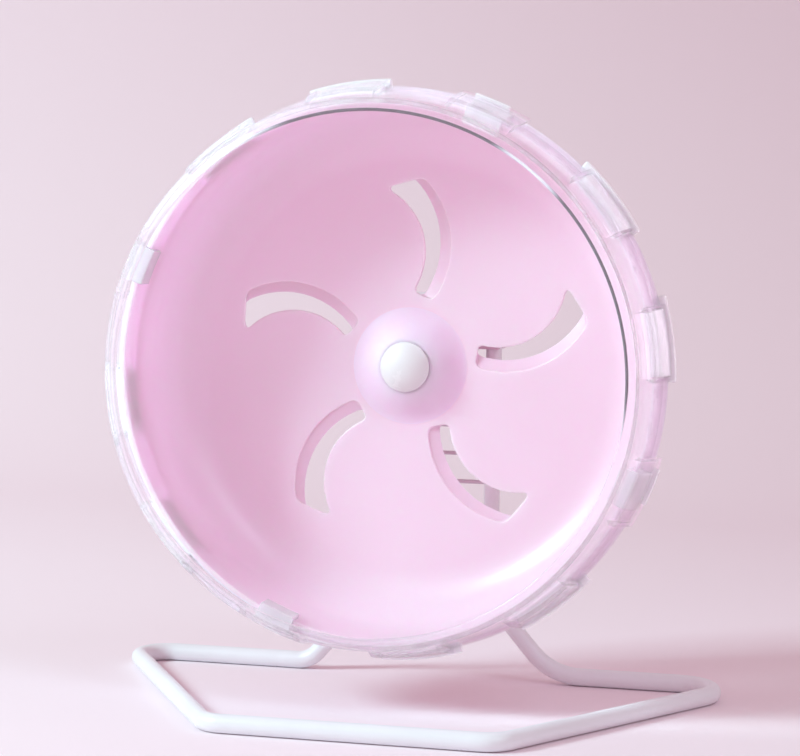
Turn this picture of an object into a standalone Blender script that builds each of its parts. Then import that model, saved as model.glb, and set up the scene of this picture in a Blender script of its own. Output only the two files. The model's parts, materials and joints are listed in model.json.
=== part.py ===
"""Hamster wheel on a bent-rod stand.

World frame: +X to the right, +Y to the rear, +Z up. The origin is on the floor,
under the middle of the whole object. Depths of the wheel and the axle are measured
to the rear from the front face of the running track's lip.
"""
import math

import bmesh
import bpy
from mathutils import Vector

MM = 0.001

# Fits
SEAT_GAP = 0.30 * MM            # between pieces that touch on the real object
OVERRUN = 1.0 * MM              # how far a cut runs past the wall it cuts

# Stand, one bent rod
ROD_RADIUS = 2.85 * MM
ROD_BEND_RADIUS = 11.0 * MM     # at the corners of the floor loop
KNEE_BEND_RADIUS = 14.0 * MM    # between leg and upright
FLOOR_CLEARANCE = 20.0 * MM     # under the wheel
NEAR_BAR_DEPTH = -18.2 * MM     # near bar, in front of the lip
NEAR_CORNER_HALF = 53.5 * MM
REAR_CORNER_HALF = 126.0 * MM
UPRIGHT_HALF = 23.4 * MM
LEG_SPREAD = 24.8 * MM          # from upright out to foot
KNEE_DROP = 93.0 * MM           # knees, below the axle
TOP_BAR_RISE = 23.3 * MM        # top bend, above the axle
TOP_BEND_RADIUS = 9.0 * MM

# Rungs between the uprights
RUNG_RADIUS = 0.80 * MM
RUNG_PITCH = 11.0 * MM
RUNG_FIRST_DROP = 14.2 * MM     # first rung below the axle
LADDER_RUNGS = 5

# Axle bracket and clamp plate
PLATE_THICKNESS = 3.0 * MM
PLATE_ARM_LOW = 5.0 * MM        # lower edge of the arms, above the axle
PLATE_ARM_HIGH = 17.0 * MM
PLATE_ARM_OVERHANG = 0.2 * MM   # past the outer side of the rods
PLATE_BODY_RADIUS = 12.0 * MM
BRACKET_BLOCK_HALF = 9.0 * MM   # block that fills the space between the plates

# Dish
DISH_WALL = 2.2 * MM
DISH_OVERLAP = 10.2 * MM        # rim, in front of the clear ring's rear edge
DISH_RIM_CLEARANCE = 0.35 * MM  # between rim and clear ring
DISH_DRAFT = 0.7 * MM           # from rim to fillet
DISH_FILLET = 20.0 * MM
DISH_FLOOR_DEPTH = 65.7 * MM    # front face of the flat back
FLANGE_THICKNESS = 1.8 * MM
FLANGE_SETBACK = 0.4 * MM       # inside the clear ring's rear edge
TAB_PROUD = 0.4 * MM            # past the clear ring's pads
TAB_THICKNESS = 2.3 * MM

# Hub
CONE_RADIUS = 22.0 * MM
HUB_SHOULDER = 0.6 * MM         # hub face, past the cap's edge
BOSS_WALL = 6.1 * MM            # around the bearing, holds the screws
NUT_CLEARANCE = 0.8 * MM        # around the nut's corners
NUT_ROOM = 1.6 * MM             # from nut to hub face

# Vents
VENT_COUNT = 5
VENT_HUB_MARGIN = 3.1 * MM      # from the cone's foot
VENT_RIM_MARGIN = 6.0 * MM      # from the flat back's edge
VENT_RIM_SLANT = 3.2 * MM       # hollow side's end, nearer the hub
VENT_HUB_SLANT = 2.0 * MM       # hollow side's start, further from the hub
VENT_MIDDLE_SHARE = 0.41        # where the middle points sit between the ends
VENT_CORNER = 2.6 * MM
VENT_SLOPE_RUN = 2.6 * MM       # how far the swept side slopes in
VENT_SWEPT_ANGLES = (-1.0, -1.8, 14.6)       # degrees, hub end, middle, rim end
VENT_HOLLOW_ANGLES = (16.4, 11.3, 27.4)

# Running track
TRACK_WALL = 1.8 * MM
LIP_OUTER_RADIUS = 97.0 * MM
LIP_WIDTH = 5.0 * MM
LIP_THICKNESS = 2.4 * MM
LIP_ROUND = 0.6 * MM
NECK_DEPTH = 6.0 * MM
NECK_STEP = 0.4 * MM            # neck, past the lip
TRACK_FLARE = 5.2 * MM          # rear edge, past the neck
TRACK_REAR_DEPTH = 30.7 * MM
PAD_RAMP = 4.0 * MM
PAD_RISE = 2.0 * MM
PAD_COUNT = 12
CLIP_EVERY = 3                  # every third pad holds a clip instead of a tab
PAD_EDGE_ANGLE = 0.25           # degrees, half of the sloping step
POCKET_EDGE_ANGLE = 1.2         # degrees, where the pocket under the pad starts

# Rim clips
CLIP_ARC = 8.0                  # degrees
CLIP_LEG = 2.0 * MM
CLIP_WEB = 2.5 * MM
CLIP_ROOM = 2.7 * MM            # between the pad's ramp and the clip
CLIP_REACH = 5.3 * MM           # inner leg, behind the web

# Hub cap
CAP_RADIUS = 9.3 * MM
CAP_DOME = 4.2 * MM
CAP_WALL = 1.5 * MM
CAP_SKIRT_CLEARANCE = 0.5 * MM  # from skirt to nut
CAP_EDGE = 0.5 * MM

# Bearing, the common 8 x 22 x 7 mm size
BEARING_BORE_RADIUS = 4.0 * MM
BEARING_WIDTH = 7.0 * MM
RACE_WALL = 2.0 * MM
RACE_SPACE = 3.0 * MM           # between the races
BALL_RADIUS = 1.985 * MM
BALL_COUNT = 7
CAGE_HALF_THICKNESS = 0.8 * MM
CAGE_FRONT = 1.2 * MM
CAGE_REAR = 2.3 * MM
SHIELD_THICKNESS = 0.4 * MM
SHIELD_INSET = 0.2 * MM

# Retainer and its screws
RETAINER_THICKNESS = 1.5 * MM
RETAINER_OVERLAP = 1.6 * MM     # over the outer race
SCREW_COUNT = 3
SCREW_RADIUS = 1.2 * MM
SCREW_HEAD_RADIUS = 2.3 * MM
SCREW_HEAD = 1.4 * MM
SCREW_LENGTH = 5.0 * MM

# Axle bolt, nut, washers, sleeve
HEX_ACROSS_FLATS = 13.0 * MM
BOLT_HEAD = 5.3 * MM
BOLT_TIP = 1.0 * MM             # thread past the nut
NUT_THICKNESS = 4.3 * MM
WASHER_THICKNESS = 1.0 * MM
NUT_WASHER_SETBACK = 0.2 * MM   # inside the inner race
BOLT_WASHER_RADIUS = 8.0 * MM
SLEEVE_LENGTH = 25.25 * MM

# Facets
ROD_SIDES = 12
BEND_STEP = 15.0                # degrees of bend for each rod segment
DISH_STEPS = 60
SMALL_STEPS = 24
TINY_STEPS = 12

# Running track, worked out
LIP_INNER_RADIUS = LIP_OUTER_RADIUS - LIP_WIDTH
NECK_RADIUS = LIP_OUTER_RADIUS + NECK_STEP
TRACK_REAR_RADIUS = NECK_RADIUS + TRACK_FLARE
TRACK_SLOPE = TRACK_FLARE / (TRACK_REAR_DEPTH - NECK_DEPTH)
PAD_PITCH = 360 / PAD_COUNT
PAD_ARC = PAD_PITCH / 2

# Dish, worked out
DISH_RIM_DEPTH = TRACK_REAR_DEPTH - DISH_OVERLAP
TRACK_INSIDE_AT_RIM = NECK_RADIUS + TRACK_SLOPE * (DISH_RIM_DEPTH - NECK_DEPTH) - TRACK_WALL
DISH_RIM_RADIUS = TRACK_INSIDE_AT_RIM - DISH_RIM_CLEARANCE - DISH_WALL
DISH_SIDE_RADIUS = DISH_RIM_RADIUS - DISH_DRAFT
DISH_FLAT_RADIUS = DISH_SIDE_RADIUS - DISH_FILLET
FLANGE_DEPTH = TRACK_REAR_DEPTH + SEAT_GAP
FLANGE_RADIUS = TRACK_REAR_RADIUS - FLANGE_SETBACK
TAB_RADIUS = TRACK_REAR_RADIUS + PAD_RISE + TAB_PROUD
CLIP_WEB_DEPTH = DISH_RIM_DEPTH - SEAT_GAP - CLIP_WEB
PAD_START_DEPTH = CLIP_WEB_DEPTH - CLIP_ROOM - PAD_RAMP

# Vents, worked out
VENT_HUB_RADIUS = CONE_RADIUS + VENT_HUB_MARGIN
VENT_RIM_RADIUS = DISH_FLAT_RADIUS - VENT_RIM_MARGIN
VENT_MID_RADIUS = VENT_HUB_RADIUS + (VENT_RIM_RADIUS - VENT_HUB_RADIUS) * VENT_MIDDLE_SHARE

# Bearing and axle, worked out
BOLT_RADIUS = BEARING_BORE_RADIUS - SEAT_GAP
HEX_CORNER_RADIUS = HEX_ACROSS_FLATS / 2 / math.cos(math.pi / 6)
INNER_RACE_RADIUS = BEARING_BORE_RADIUS + RACE_WALL
RACE_MIDDLE = INNER_RACE_RADIUS + RACE_SPACE / 2
OUTER_RACE_RADIUS = INNER_RACE_RADIUS + RACE_SPACE
BEARING_OUTER_RADIUS = OUTER_RACE_RADIUS + RACE_WALL
BEARING_DEPTH = DISH_FLOOR_DEPTH + SEAT_GAP
BEARING_REAR = BEARING_DEPTH + BEARING_WIDTH
SEAT_RADIUS = BEARING_OUTER_RADIUS + SEAT_GAP
BOSS_RADIUS = SEAT_RADIUS + BOSS_WALL
SCREW_CIRCLE = (SEAT_RADIUS + BOSS_RADIUS) / 2
RETAINER_DEPTH = BEARING_REAR + SEAT_GAP
RETAINER_BORE = BEARING_OUTER_RADIUS - RETAINER_OVERLAP
NUT_WASHER_RADIUS = INNER_RACE_RADIUS - NUT_WASHER_SETBACK
SLEEVE_RADIUS = INNER_RACE_RADIUS
NUT_WASHER_DEPTH = BEARING_DEPTH - SEAT_GAP - WASHER_THICKNESS
NUT_DEPTH = NUT_WASHER_DEPTH - SEAT_GAP - NUT_THICKNESS
NUT_CAVITY_RADIUS = HEX_CORNER_RADIUS + NUT_CLEARANCE
HUB_FACE_DEPTH = NUT_DEPTH - NUT_ROOM
HUB_FACE_RADIUS = CAP_RADIUS + HUB_SHOULDER
CONE_RISE = DISH_FLOOR_DEPTH - HUB_FACE_DEPTH
CAP_SKIRT = NUT_ROOM - CAP_SKIRT_CLEARANCE
SLEEVE_DEPTH = BEARING_REAR + SEAT_GAP
BRACKET_DEPTH = SLEEVE_DEPTH + SLEEVE_LENGTH + SEAT_GAP
UPRIGHT_DEPTH = BRACKET_DEPTH + PLATE_THICKNESS + SEAT_GAP + ROD_RADIUS
CLAMP_DEPTH = UPRIGHT_DEPTH + ROD_RADIUS + SEAT_GAP
BOLT_WASHER_DEPTH = CLAMP_DEPTH + PLATE_THICKNESS + SEAT_GAP
BOLT_HEAD_DEPTH = BOLT_WASHER_DEPTH + WASHER_THICKNESS + SEAT_GAP

# Stand and frame, worked out
AXLE_HEIGHT = TAB_RADIUS + FLOOR_CLEARANCE
ROD_FACET = ROD_RADIUS * math.cos(math.pi / ROD_SIDES)
FLOOR_ROD_Z = ROD_FACET
FOOT_HALF = UPRIGHT_HALF + LEG_SPREAD
KNEE_Z = AXLE_HEIGHT - KNEE_DROP
TOP_Z = AXLE_HEIGHT + TOP_BAR_RISE
FRONT_Y = NEAR_BAR_DEPTH - ROD_FACET
REAR_Y = BOLT_HEAD_DEPTH + BOLT_HEAD
LIP_Y = -(FRONT_Y + REAR_Y) / 2


def clear_scene():
    for item in list(bpy.data.objects):
        bpy.data.objects.remove(item, do_unlink=True)


def material(name, colour, roughness, metallic=0.0, transmission=0.0):
    made = bpy.data.materials.new(name)
    made.use_nodes = True
    shader = made.node_tree.nodes["Principled BSDF"]
    shader.inputs["Base Color"].default_value = (*colour, 1.0)
    shader.inputs["Roughness"].default_value = roughness
    shader.inputs["Metallic"].default_value = metallic
    shader.inputs["Transmission Weight"].default_value = transmission
    return made


def make_materials():
    return {
        "powder_coat": material("white_powder_coat", (0.86, 0.84, 0.86), 0.42),
        "rung_coat": material("white_wire_coat", (0.84, 0.82, 0.84), 0.45),
        "bracket": material("white_bracket_plastic", (0.85, 0.82, 0.84), 0.45),
        "clamp": material("white_clamp_plastic", (0.84, 0.81, 0.83), 0.45),
        "dish": material("pink_dish_plastic", (0.86, 0.60, 0.74), 0.30),
        "track": material("clear_track_plastic", (0.95, 0.90, 0.94), 0.06, 0.0, 0.9),
        "clip": material("pale_pink_clip_plastic", (0.90, 0.74, 0.82), 0.30),
        "cap": material("white_cap_plastic", (0.90, 0.88, 0.90), 0.25),
        "race": material("bearing_steel", (0.62, 0.62, 0.64), 0.20, 1.0),
        "ball": material("ball_steel", (0.72, 0.72, 0.74), 0.08, 1.0),
        "cage": material("cage_plastic", (0.16, 0.16, 0.17), 0.50),
        "shield": material("shield_steel", (0.55, 0.55, 0.57), 0.28, 1.0),
        "zinc": material("zinc_plated_steel", (0.60, 0.61, 0.63), 0.30, 1.0),
        "sleeve": material("sleeve_aluminium", (0.70, 0.71, 0.73), 0.32, 1.0),
        "retainer": material("pink_retainer_plastic", (0.84, 0.60, 0.73), 0.36),
    }


def polar(radius, degrees):
    """A place in the wheel's plane, measured from +X towards +Z."""
    turn = math.radians(degrees)
    return (radius * math.cos(turn), radius * math.sin(turn))


def empty(name, place):
    made = bpy.data.objects.new(name, None)
    made.location = place
    bpy.context.collection.objects.link(made)
    return made


def finish(name, mesh_data, finish_material, parent, place=(0, 0, 0), sharp=35.0):
    """Turns a bmesh into a named object with outward faces."""
    bmesh.ops.recalc_face_normals(mesh_data, faces=mesh_data.faces)
    mesh = bpy.data.meshes.new(name)
    mesh_data.to_mesh(mesh)
    mesh_data.free()
    mesh.shade_smooth()
    mesh.set_sharp_from_angle(angle=math.radians(sharp))
    if finish_material is not None:
        mesh.materials.append(finish_material)
    made = bpy.data.objects.new(name, mesh)
    bpy.context.collection.objects.link(made)
    made.parent = parent
    made.location = place
    return made


def spin_profile(mesh_data, profile, steps):
    """Turns a closed outline of (radius, depth) points about the Y axis."""
    corners = [mesh_data.verts.new((radius, depth, 0)) for radius, depth in profile]
    edges = []
    for first, second in zip(corners, corners[1:] + corners[:1]):
        on_axis = first.co.x == 0 and second.co.x == 0
        if not on_axis:
            edges.append(mesh_data.edges.new((first, second)))
    bmesh.ops.spin(mesh_data, geom=corners + edges, cent=(0, 0, 0), axis=(0, 1, 0),
                   angle=math.tau, steps=steps, use_merge=True)
    bmesh.ops.remove_doubles(mesh_data, verts=mesh_data.verts, dist=SEAT_GAP / 100)


def turned(name, profile, depth, parent, finish_material, steps=SMALL_STEPS):
    mesh_data = bmesh.new()
    spin_profile(mesh_data, profile, steps)
    return finish(name, mesh_data, finish_material, parent, (0, depth, 0))


def loft(mesh_data, rings, closed=False):
    """Skins a row of rings that have the same number of points."""
    rows = [[mesh_data.verts.new(point) for point in ring] for ring in rings]
    count = len(rows[0])
    pairs = list(zip(rows, rows[1:]))
    if closed:
        pairs.append((rows[-1], rows[0]))
    for near, far in pairs:
        for index in range(count):
            after = (index + 1) % count
            mesh_data.faces.new((near[index], near[after], far[after], far[index]))
    if not closed:
        mesh_data.faces.new(rows[0])
        mesh_data.faces.new(rows[-1])


def sector(profile, start, end, pieces):
    """Copies of a (radius, depth) outline along an arc, given in degrees."""
    rings = []
    for step in range(pieces + 1):
        angle = start + (end - start) * step / pieces
        ring = []
        for radius, depth in profile:
            across, up = polar(radius, angle)
            ring.append((across, depth, up))
        rings.append(ring)
    return rings


def ring_outline(inner, outer, thickness):
    return [(inner, 0), (outer, 0), (outer, thickness), (inner, thickness)]


def cutter(name, mesh_data, parent):
    made = finish(name, mesh_data, None, parent)
    made.hide_render = True
    made.display_type = "WIRE"
    return made


def combine(target, other, operation):
    boolean = target.modifiers.new(other.name, "BOOLEAN")
    boolean.operation = operation
    boolean.object = other


def bent_path(corners, radii, step_angle):
    """A closed path through corners, with an arc of its own radius at each."""
    points = []
    count = len(corners)
    for index, corner in enumerate(corners):
        before = (corners[index - 1] - corner).normalized()
        after = (corners[(index + 1) % count] - corner).normalized()
        between = before.angle(after)
        turn = math.pi - between
        radius = radii[index]
        tangent = radius / math.tan(between / 2)
        middle = (before + after).normalized()
        centre = corner + middle * (radius / math.sin(between / 2))
        pieces = max(2, round(math.degrees(turn) / step_angle))
        start = corner + before * tangent - centre
        sideways = (-before).normalized()
        for piece in range(pieces + 1):
            angle = turn * piece / pieces
            points.append(centre + start * math.cos(angle) + sideways * (radius * math.sin(angle)))
    return points


def sweep_rod(mesh_data, points, radius, sides):
    """Carries a round section along a closed path, one facet kept level."""
    count = len(points)
    normal = Vector((0, 0, 1))
    rings = []
    for index, point in enumerate(points):
        ahead = (points[(index + 1) % count] - point).normalized()
        behind = (point - points[index - 1]).normalized()
        along = (ahead + behind).normalized()
        normal = (normal - along * normal.dot(along)).normalized()
        side = along.cross(normal)
        ring = []
        for corner in range(sides):
            angle = math.tau * (corner + 0.5) / sides
            ring.append(point + normal * (radius * math.cos(angle)) + side * (radius * math.sin(angle)))
        rings.append(ring)
    loft(mesh_data, rings, closed=True)


def stand_corners():
    """Corners of the rod loop, from the near bar round to the near bar."""
    front = NEAR_BAR_DEPTH + LIP_Y
    rear = UPRIGHT_DEPTH + LIP_Y
    right = [
        (Vector((NEAR_CORNER_HALF, front, FLOOR_ROD_Z)), ROD_BEND_RADIUS),
        (Vector((REAR_CORNER_HALF, rear, FLOOR_ROD_Z)), ROD_BEND_RADIUS),
        (Vector((FOOT_HALF, rear, FLOOR_ROD_Z)), ROD_BEND_RADIUS),
        (Vector((UPRIGHT_HALF, rear, KNEE_Z)), KNEE_BEND_RADIUS),
        (Vector((UPRIGHT_HALF, rear, TOP_Z)), TOP_BEND_RADIUS),
    ]
    left = [(Vector((-place.x, place.y, place.z)), bend) for place, bend in reversed(right)]
    return right + left


def make_stand_frame(parent, finish_material):
    corners = stand_corners()
    points = bent_path([place for place, bend in corners], [bend for place, bend in corners], BEND_STEP)
    mesh_data = bmesh.new()
    sweep_rod(mesh_data, points, ROD_RADIUS, ROD_SIDES)
    return finish("stand_frame", mesh_data, finish_material, parent)


def make_rungs(parent, finish_material):
    reach = UPRIGHT_HALF - ROD_RADIUS - SEAT_GAP
    heights = [RUNG_FIRST_DROP]
    heights += [-RUNG_FIRST_DROP - RUNG_PITCH * step for step in range(LADDER_RUNGS)]
    for number, height in enumerate(heights, start=1):
        mesh_data = bmesh.new()
        rings = []
        for across in (-reach, reach):
            ring = []
            for corner in range(TINY_STEPS):
                angle = math.tau * corner / TINY_STEPS
                ring.append((across, RUNG_RADIUS * math.cos(angle), RUNG_RADIUS * math.sin(angle)))
            rings.append(ring)
        loft(mesh_data, rings)
        place = (0, UPRIGHT_DEPTH, height)
        finish("rung_%d" % number, mesh_data, finish_material, parent, place)


def plate_outline():
    """T-shaped plate: arms across both rods and a round body at the axle."""
    arm = UPRIGHT_HALF + ROD_RADIUS + PLATE_ARM_OVERHANG
    meet = math.asin(PLATE_ARM_LOW / PLATE_BODY_RADIUS)
    outline = [(arm, PLATE_ARM_LOW), (arm, PLATE_ARM_HIGH), (-arm, PLATE_ARM_HIGH), (-arm, PLATE_ARM_LOW)]
    for step in range(TINY_STEPS + 1):
        angle = math.pi - meet + (math.pi + meet * 2) * step / TINY_STEPS
        outline.append((PLATE_BODY_RADIUS * math.cos(angle), PLATE_BODY_RADIUS * math.sin(angle)))
    return outline


def plate_prism(mesh_data, outline, thickness):
    loft(mesh_data, [[(across, depth, up) for across, up in outline] for depth in (0, thickness)])


def axle_hole(name, depth, thickness, parent):
    mesh_data = bmesh.new()
    hole = BEARING_BORE_RADIUS + SEAT_GAP
    profile = [(0, -OVERRUN), (hole, -OVERRUN), (hole, thickness + OVERRUN), (0, thickness + OVERRUN)]
    spin_profile(mesh_data, profile, SMALL_STEPS)
    made = cutter(name, mesh_data, parent)
    made.location = (0, depth, 0)
    return made


def make_axle_bracket(parent, finish_material):
    """Front plate with a block that fills the space between the two plates."""
    mesh_data = bmesh.new()
    plate_prism(mesh_data, plate_outline(), PLATE_THICKNESS)
    place = (0, BRACKET_DEPTH, 0)
    made = finish("axle_bracket", mesh_data, finish_material, parent, place)
    block_end = CLAMP_DEPTH - SEAT_GAP - BRACKET_DEPTH
    half = BRACKET_BLOCK_HALF
    height = RUNG_FIRST_DROP - RUNG_RADIUS - SEAT_GAP
    block = bmesh.new()
    outline = [(half, -height), (half, height), (-half, height), (-half, -height)]
    start = PLATE_THICKNESS / 2
    loft(block, [[(across, depth, up) for across, up in outline] for depth in (start, block_end)])
    guide = cutter("bracket_block_guide", block, parent)
    guide.location = place
    combine(made, guide, "UNION")
    combine(made, axle_hole("bracket_hole_cutter", BRACKET_DEPTH, block_end, parent), "DIFFERENCE")
    return made


def make_clamp_plate(parent, finish_material):
    mesh_data = bmesh.new()
    plate_prism(mesh_data, plate_outline(), PLATE_THICKNESS)
    place = (0, CLAMP_DEPTH, 0)
    made = finish("clamp_plate", mesh_data, finish_material, parent, place)
    combine(made, axle_hole("clamp_hole_cutter", CLAMP_DEPTH, PLATE_THICKNESS, parent), "DIFFERENCE")
    return made


def arc_through(first, middle, last, pieces):
    """Points of the circle arc from first through middle to last."""
    ax, ay = first
    bx, by = middle
    cx, cy = last
    spread = 2 * (ax * (by - cy) + bx * (cy - ay) + cx * (ay - by))
    square_a = ax * ax + ay * ay
    square_b = bx * bx + by * by
    square_c = cx * cx + cy * cy
    ux = (square_a * (by - cy) + square_b * (cy - ay) + square_c * (ay - by)) / spread
    uy = (square_a * (cx - bx) + square_b * (ax - cx) + square_c * (bx - ax)) / spread
    radius = math.hypot(ax - ux, ay - uy)
    start = math.atan2(ay - uy, ax - ux)
    sweep = math.remainder(math.atan2(cy - uy, cx - ux) - start, math.tau)
    points = []
    for piece in range(pieces + 1):
        angle = start + sweep * piece / pieces
        points.append((ux + radius * math.cos(angle), uy + radius * math.sin(angle)))
    return points


def rounded(outline, corners, radius, pieces):
    """Replaces the listed corners of an outline with arcs."""
    points = []
    count = len(outline)
    for index, place in enumerate(outline):
        if index not in corners:
            points.append(place)
            continue
        corner = Vector(place)
        before = (Vector(outline[index - 1]) - corner).normalized()
        after = (Vector(outline[(index + 1) % count]) - corner).normalized()
        between = before.angle(after)
        tangent = radius / math.tan(between / 2)
        centre = corner + (before + after).normalized() * (radius / math.sin(between / 2))
        start = corner + before * tangent - centre
        turn = math.pi - between
        for piece in range(pieces + 1):
            angle = turn * piece / pieces
            spot = centre + start * math.cos(angle) - before * (radius * math.sin(angle))
            points.append((spot.x, spot.y))
    return points


def vent_outline(turn, slope_run):
    """One vent: a swept side, a hollow side and rounded ends."""
    radii = (VENT_HUB_RADIUS, VENT_MID_RADIUS, VENT_RIM_RADIUS)
    swept = []
    for radius, angle in zip(radii, VENT_SWEPT_ANGLES):
        swept.append(polar(radius, turn + angle + math.degrees(slope_run / radius)))
    radii = (VENT_HUB_RADIUS + VENT_HUB_SLANT, VENT_MID_RADIUS, VENT_RIM_RADIUS - VENT_RIM_SLANT)
    hollow = [polar(radius, turn + angle) for radius, angle in zip(radii, VENT_HOLLOW_ANGLES)]
    pieces = TINY_STEPS // 2
    outline = arc_through(*swept, pieces) + arc_through(*reversed(hollow), pieces)
    last = len(outline) - 1
    return rounded(outline, (0, pieces, pieces + 1, last), VENT_CORNER - slope_run / 3, 4)


def make_dish_cutter(parent):
    """Vents with one sloped side, and pilot holes for the retainer's screws."""
    mesh_data = bmesh.new()
    front = DISH_FLOOR_DEPTH
    rear = front + DISH_WALL
    for number in range(VENT_COUNT):
        turn = 360 * number / VENT_COUNT
        wide = vent_outline(turn, 0)
        narrow = vent_outline(turn, VENT_SLOPE_RUN)
        stages = ((front - OVERRUN, wide), (front, wide), (rear, narrow), (rear + OVERRUN, narrow))
        loft(mesh_data, [[(across, depth, up) for across, up in outline] for depth, outline in stages])
    for number in range(SCREW_COUNT):
        across, up = screw_place(number)
        drill_hole(mesh_data, across, up, BEARING_REAR - SCREW_LENGTH, BEARING_REAR + OVERRUN)
    return cutter("dish_cutter", mesh_data, parent)


def screw_place(number):
    return polar(SCREW_CIRCLE, 90 + 360 * number / SCREW_COUNT)


def drill_hole(mesh_data, across, up, start, end):
    hole = SCREW_RADIUS + SEAT_GAP
    rings = []
    for depth in (start, end):
        ring = []
        for corner in range(TINY_STEPS):
            angle = math.tau * corner / TINY_STEPS
            ring.append((across + hole * math.cos(angle), depth, up + hole * math.sin(angle)))
        rings.append(ring)
    loft(mesh_data, rings)


def cone_profile():
    """Hub cone from its foot to the hub face, with a soft foot and shoulder."""
    points = []
    for step in range(7):
        share = step / 6
        blend = share * share * (3 - 2 * share)
        radius = CONE_RADIUS + (HUB_FACE_RADIUS - CONE_RADIUS) * share
        points.append((radius, DISH_FLOOR_DEPTH - CONE_RISE * (blend + share) / 2))
    return points


def dish_profile():
    """The bowl's section from the rim's inner edge round to the flat back."""
    floor = DISH_FLOOR_DEPTH
    back = floor + DISH_WALL
    start = floor - DISH_FILLET
    outer = DISH_SIDE_RADIUS + DISH_WALL
    points = [(DISH_RIM_RADIUS, DISH_RIM_DEPTH), (DISH_RIM_RADIUS + DISH_WALL, DISH_RIM_DEPTH)]
    points.append((DISH_RIM_RADIUS + DISH_WALL, FLANGE_DEPTH))
    points.append((FLANGE_RADIUS, FLANGE_DEPTH))
    points.append((FLANGE_RADIUS, FLANGE_DEPTH + FLANGE_THICKNESS))
    points.append((DISH_RIM_RADIUS + DISH_WALL, FLANGE_DEPTH + FLANGE_THICKNESS))
    pieces = 6
    reach = DISH_FILLET + DISH_WALL
    for step in range(pieces + 1):
        angle = math.pi / 2 * step / pieces
        points.append((outer - reach + reach * math.cos(angle), start + reach * math.sin(angle)))
    points += [(BOSS_RADIUS, back), (BOSS_RADIUS, BEARING_REAR), (SEAT_RADIUS, BEARING_REAR)]
    points += [(SEAT_RADIUS, floor), (NUT_CAVITY_RADIUS, floor), (NUT_CAVITY_RADIUS, HUB_FACE_DEPTH)]
    points += list(reversed(cone_profile()))
    for step in range(pieces + 1):
        angle = math.pi / 2 * (1 - step / pieces)
        points.append((DISH_FLAT_RADIUS + DISH_FILLET * math.cos(angle), start + DISH_FILLET * math.sin(angle)))
    return points


def track_radius(depth, rise):
    """Outside of the clear ring behind its neck, rise being the pad's height."""
    return NECK_RADIUS + TRACK_SLOPE * (depth - NECK_DEPTH) + rise


def pad_starts():
    return [PAD_PITCH * number for number in range(PAD_COUNT)]


def holds_clip(number):
    return number % CLIP_EVERY == CLIP_EVERY - 1


def make_tab_guide(parent):
    """Tabs behind the pads, each with a wedge that fills the pad's pocket."""
    mesh_data = bmesh.new()
    root = DISH_RIM_RADIUS + DISH_WALL / 2
    tab_end = FLANGE_DEPTH + TAB_THICKNESS
    middle = FLANGE_DEPTH + TAB_THICKNESS / 2
    wedge_start = DISH_RIM_DEPTH + DISH_WALL
    under = -TRACK_WALL - SEAT_GAP
    wedge = [(root, wedge_start), (track_radius(wedge_start, PAD_RISE) + under, wedge_start)]
    wedge.append((track_radius(TRACK_REAR_DEPTH, PAD_RISE) + under, TRACK_REAR_DEPTH))
    wedge.append((track_radius(TRACK_REAR_DEPTH, PAD_RISE) + under, middle))
    wedge.append((root, middle))
    tab = [(root, FLANGE_DEPTH), (TAB_RADIUS, FLANGE_DEPTH), (TAB_RADIUS, tab_end), (root, tab_end)]
    room = POCKET_EDGE_ANGLE + math.degrees(SEAT_GAP / TRACK_REAR_RADIUS)
    wedges = bmesh.new()
    for number, start in enumerate(pad_starts()):
        if holds_clip(number):
            continue
        loft(mesh_data, sector(tab, start + PAD_EDGE_ANGLE, start + PAD_ARC - PAD_EDGE_ANGLE, 3))
        loft(wedges, sector(wedge, start + room, start + PAD_ARC - room, 3))
    return cutter("tab_guide", mesh_data, parent), cutter("wedge_guide", wedges, parent)


def make_dish(parent, finish_material):
    made = turned("dish", dish_profile(), 0, parent, finish_material, DISH_STEPS)
    tabs, wedges = make_tab_guide(parent)
    combine(made, tabs, "UNION")
    combine(made, wedges, "UNION")
    combine(made, make_dish_cutter(parent), "DIFFERENCE")
    return made


def track_profile(outer_rise, inner_rise):
    """Section of the clear ring, from the lip's inner edge round to it again."""
    ramp_end = PAD_START_DEPTH + PAD_RAMP
    points = [(LIP_INNER_RADIUS, LIP_ROUND), (LIP_INNER_RADIUS + LIP_ROUND, 0)]
    points += [(LIP_OUTER_RADIUS - LIP_ROUND, 0), (LIP_OUTER_RADIUS, LIP_ROUND)]
    points += [(NECK_RADIUS, NECK_DEPTH), (track_radius(PAD_START_DEPTH, 0), PAD_START_DEPTH)]
    points.append((track_radius(ramp_end, outer_rise), ramp_end))
    points.append((track_radius(TRACK_REAR_DEPTH, outer_rise), TRACK_REAR_DEPTH))
    points.append((track_radius(TRACK_REAR_DEPTH, inner_rise) - TRACK_WALL, TRACK_REAR_DEPTH))
    points.append((track_radius(ramp_end, inner_rise) - TRACK_WALL, ramp_end))
    points.append((track_radius(PAD_START_DEPTH, 0) - TRACK_WALL, PAD_START_DEPTH))
    points.append((NECK_RADIUS - TRACK_WALL, NECK_DEPTH))
    points.append((LIP_OUTER_RADIUS - TRACK_WALL, LIP_THICKNESS))
    points.append((LIP_INNER_RADIUS, LIP_THICKNESS))
    return points


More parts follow.
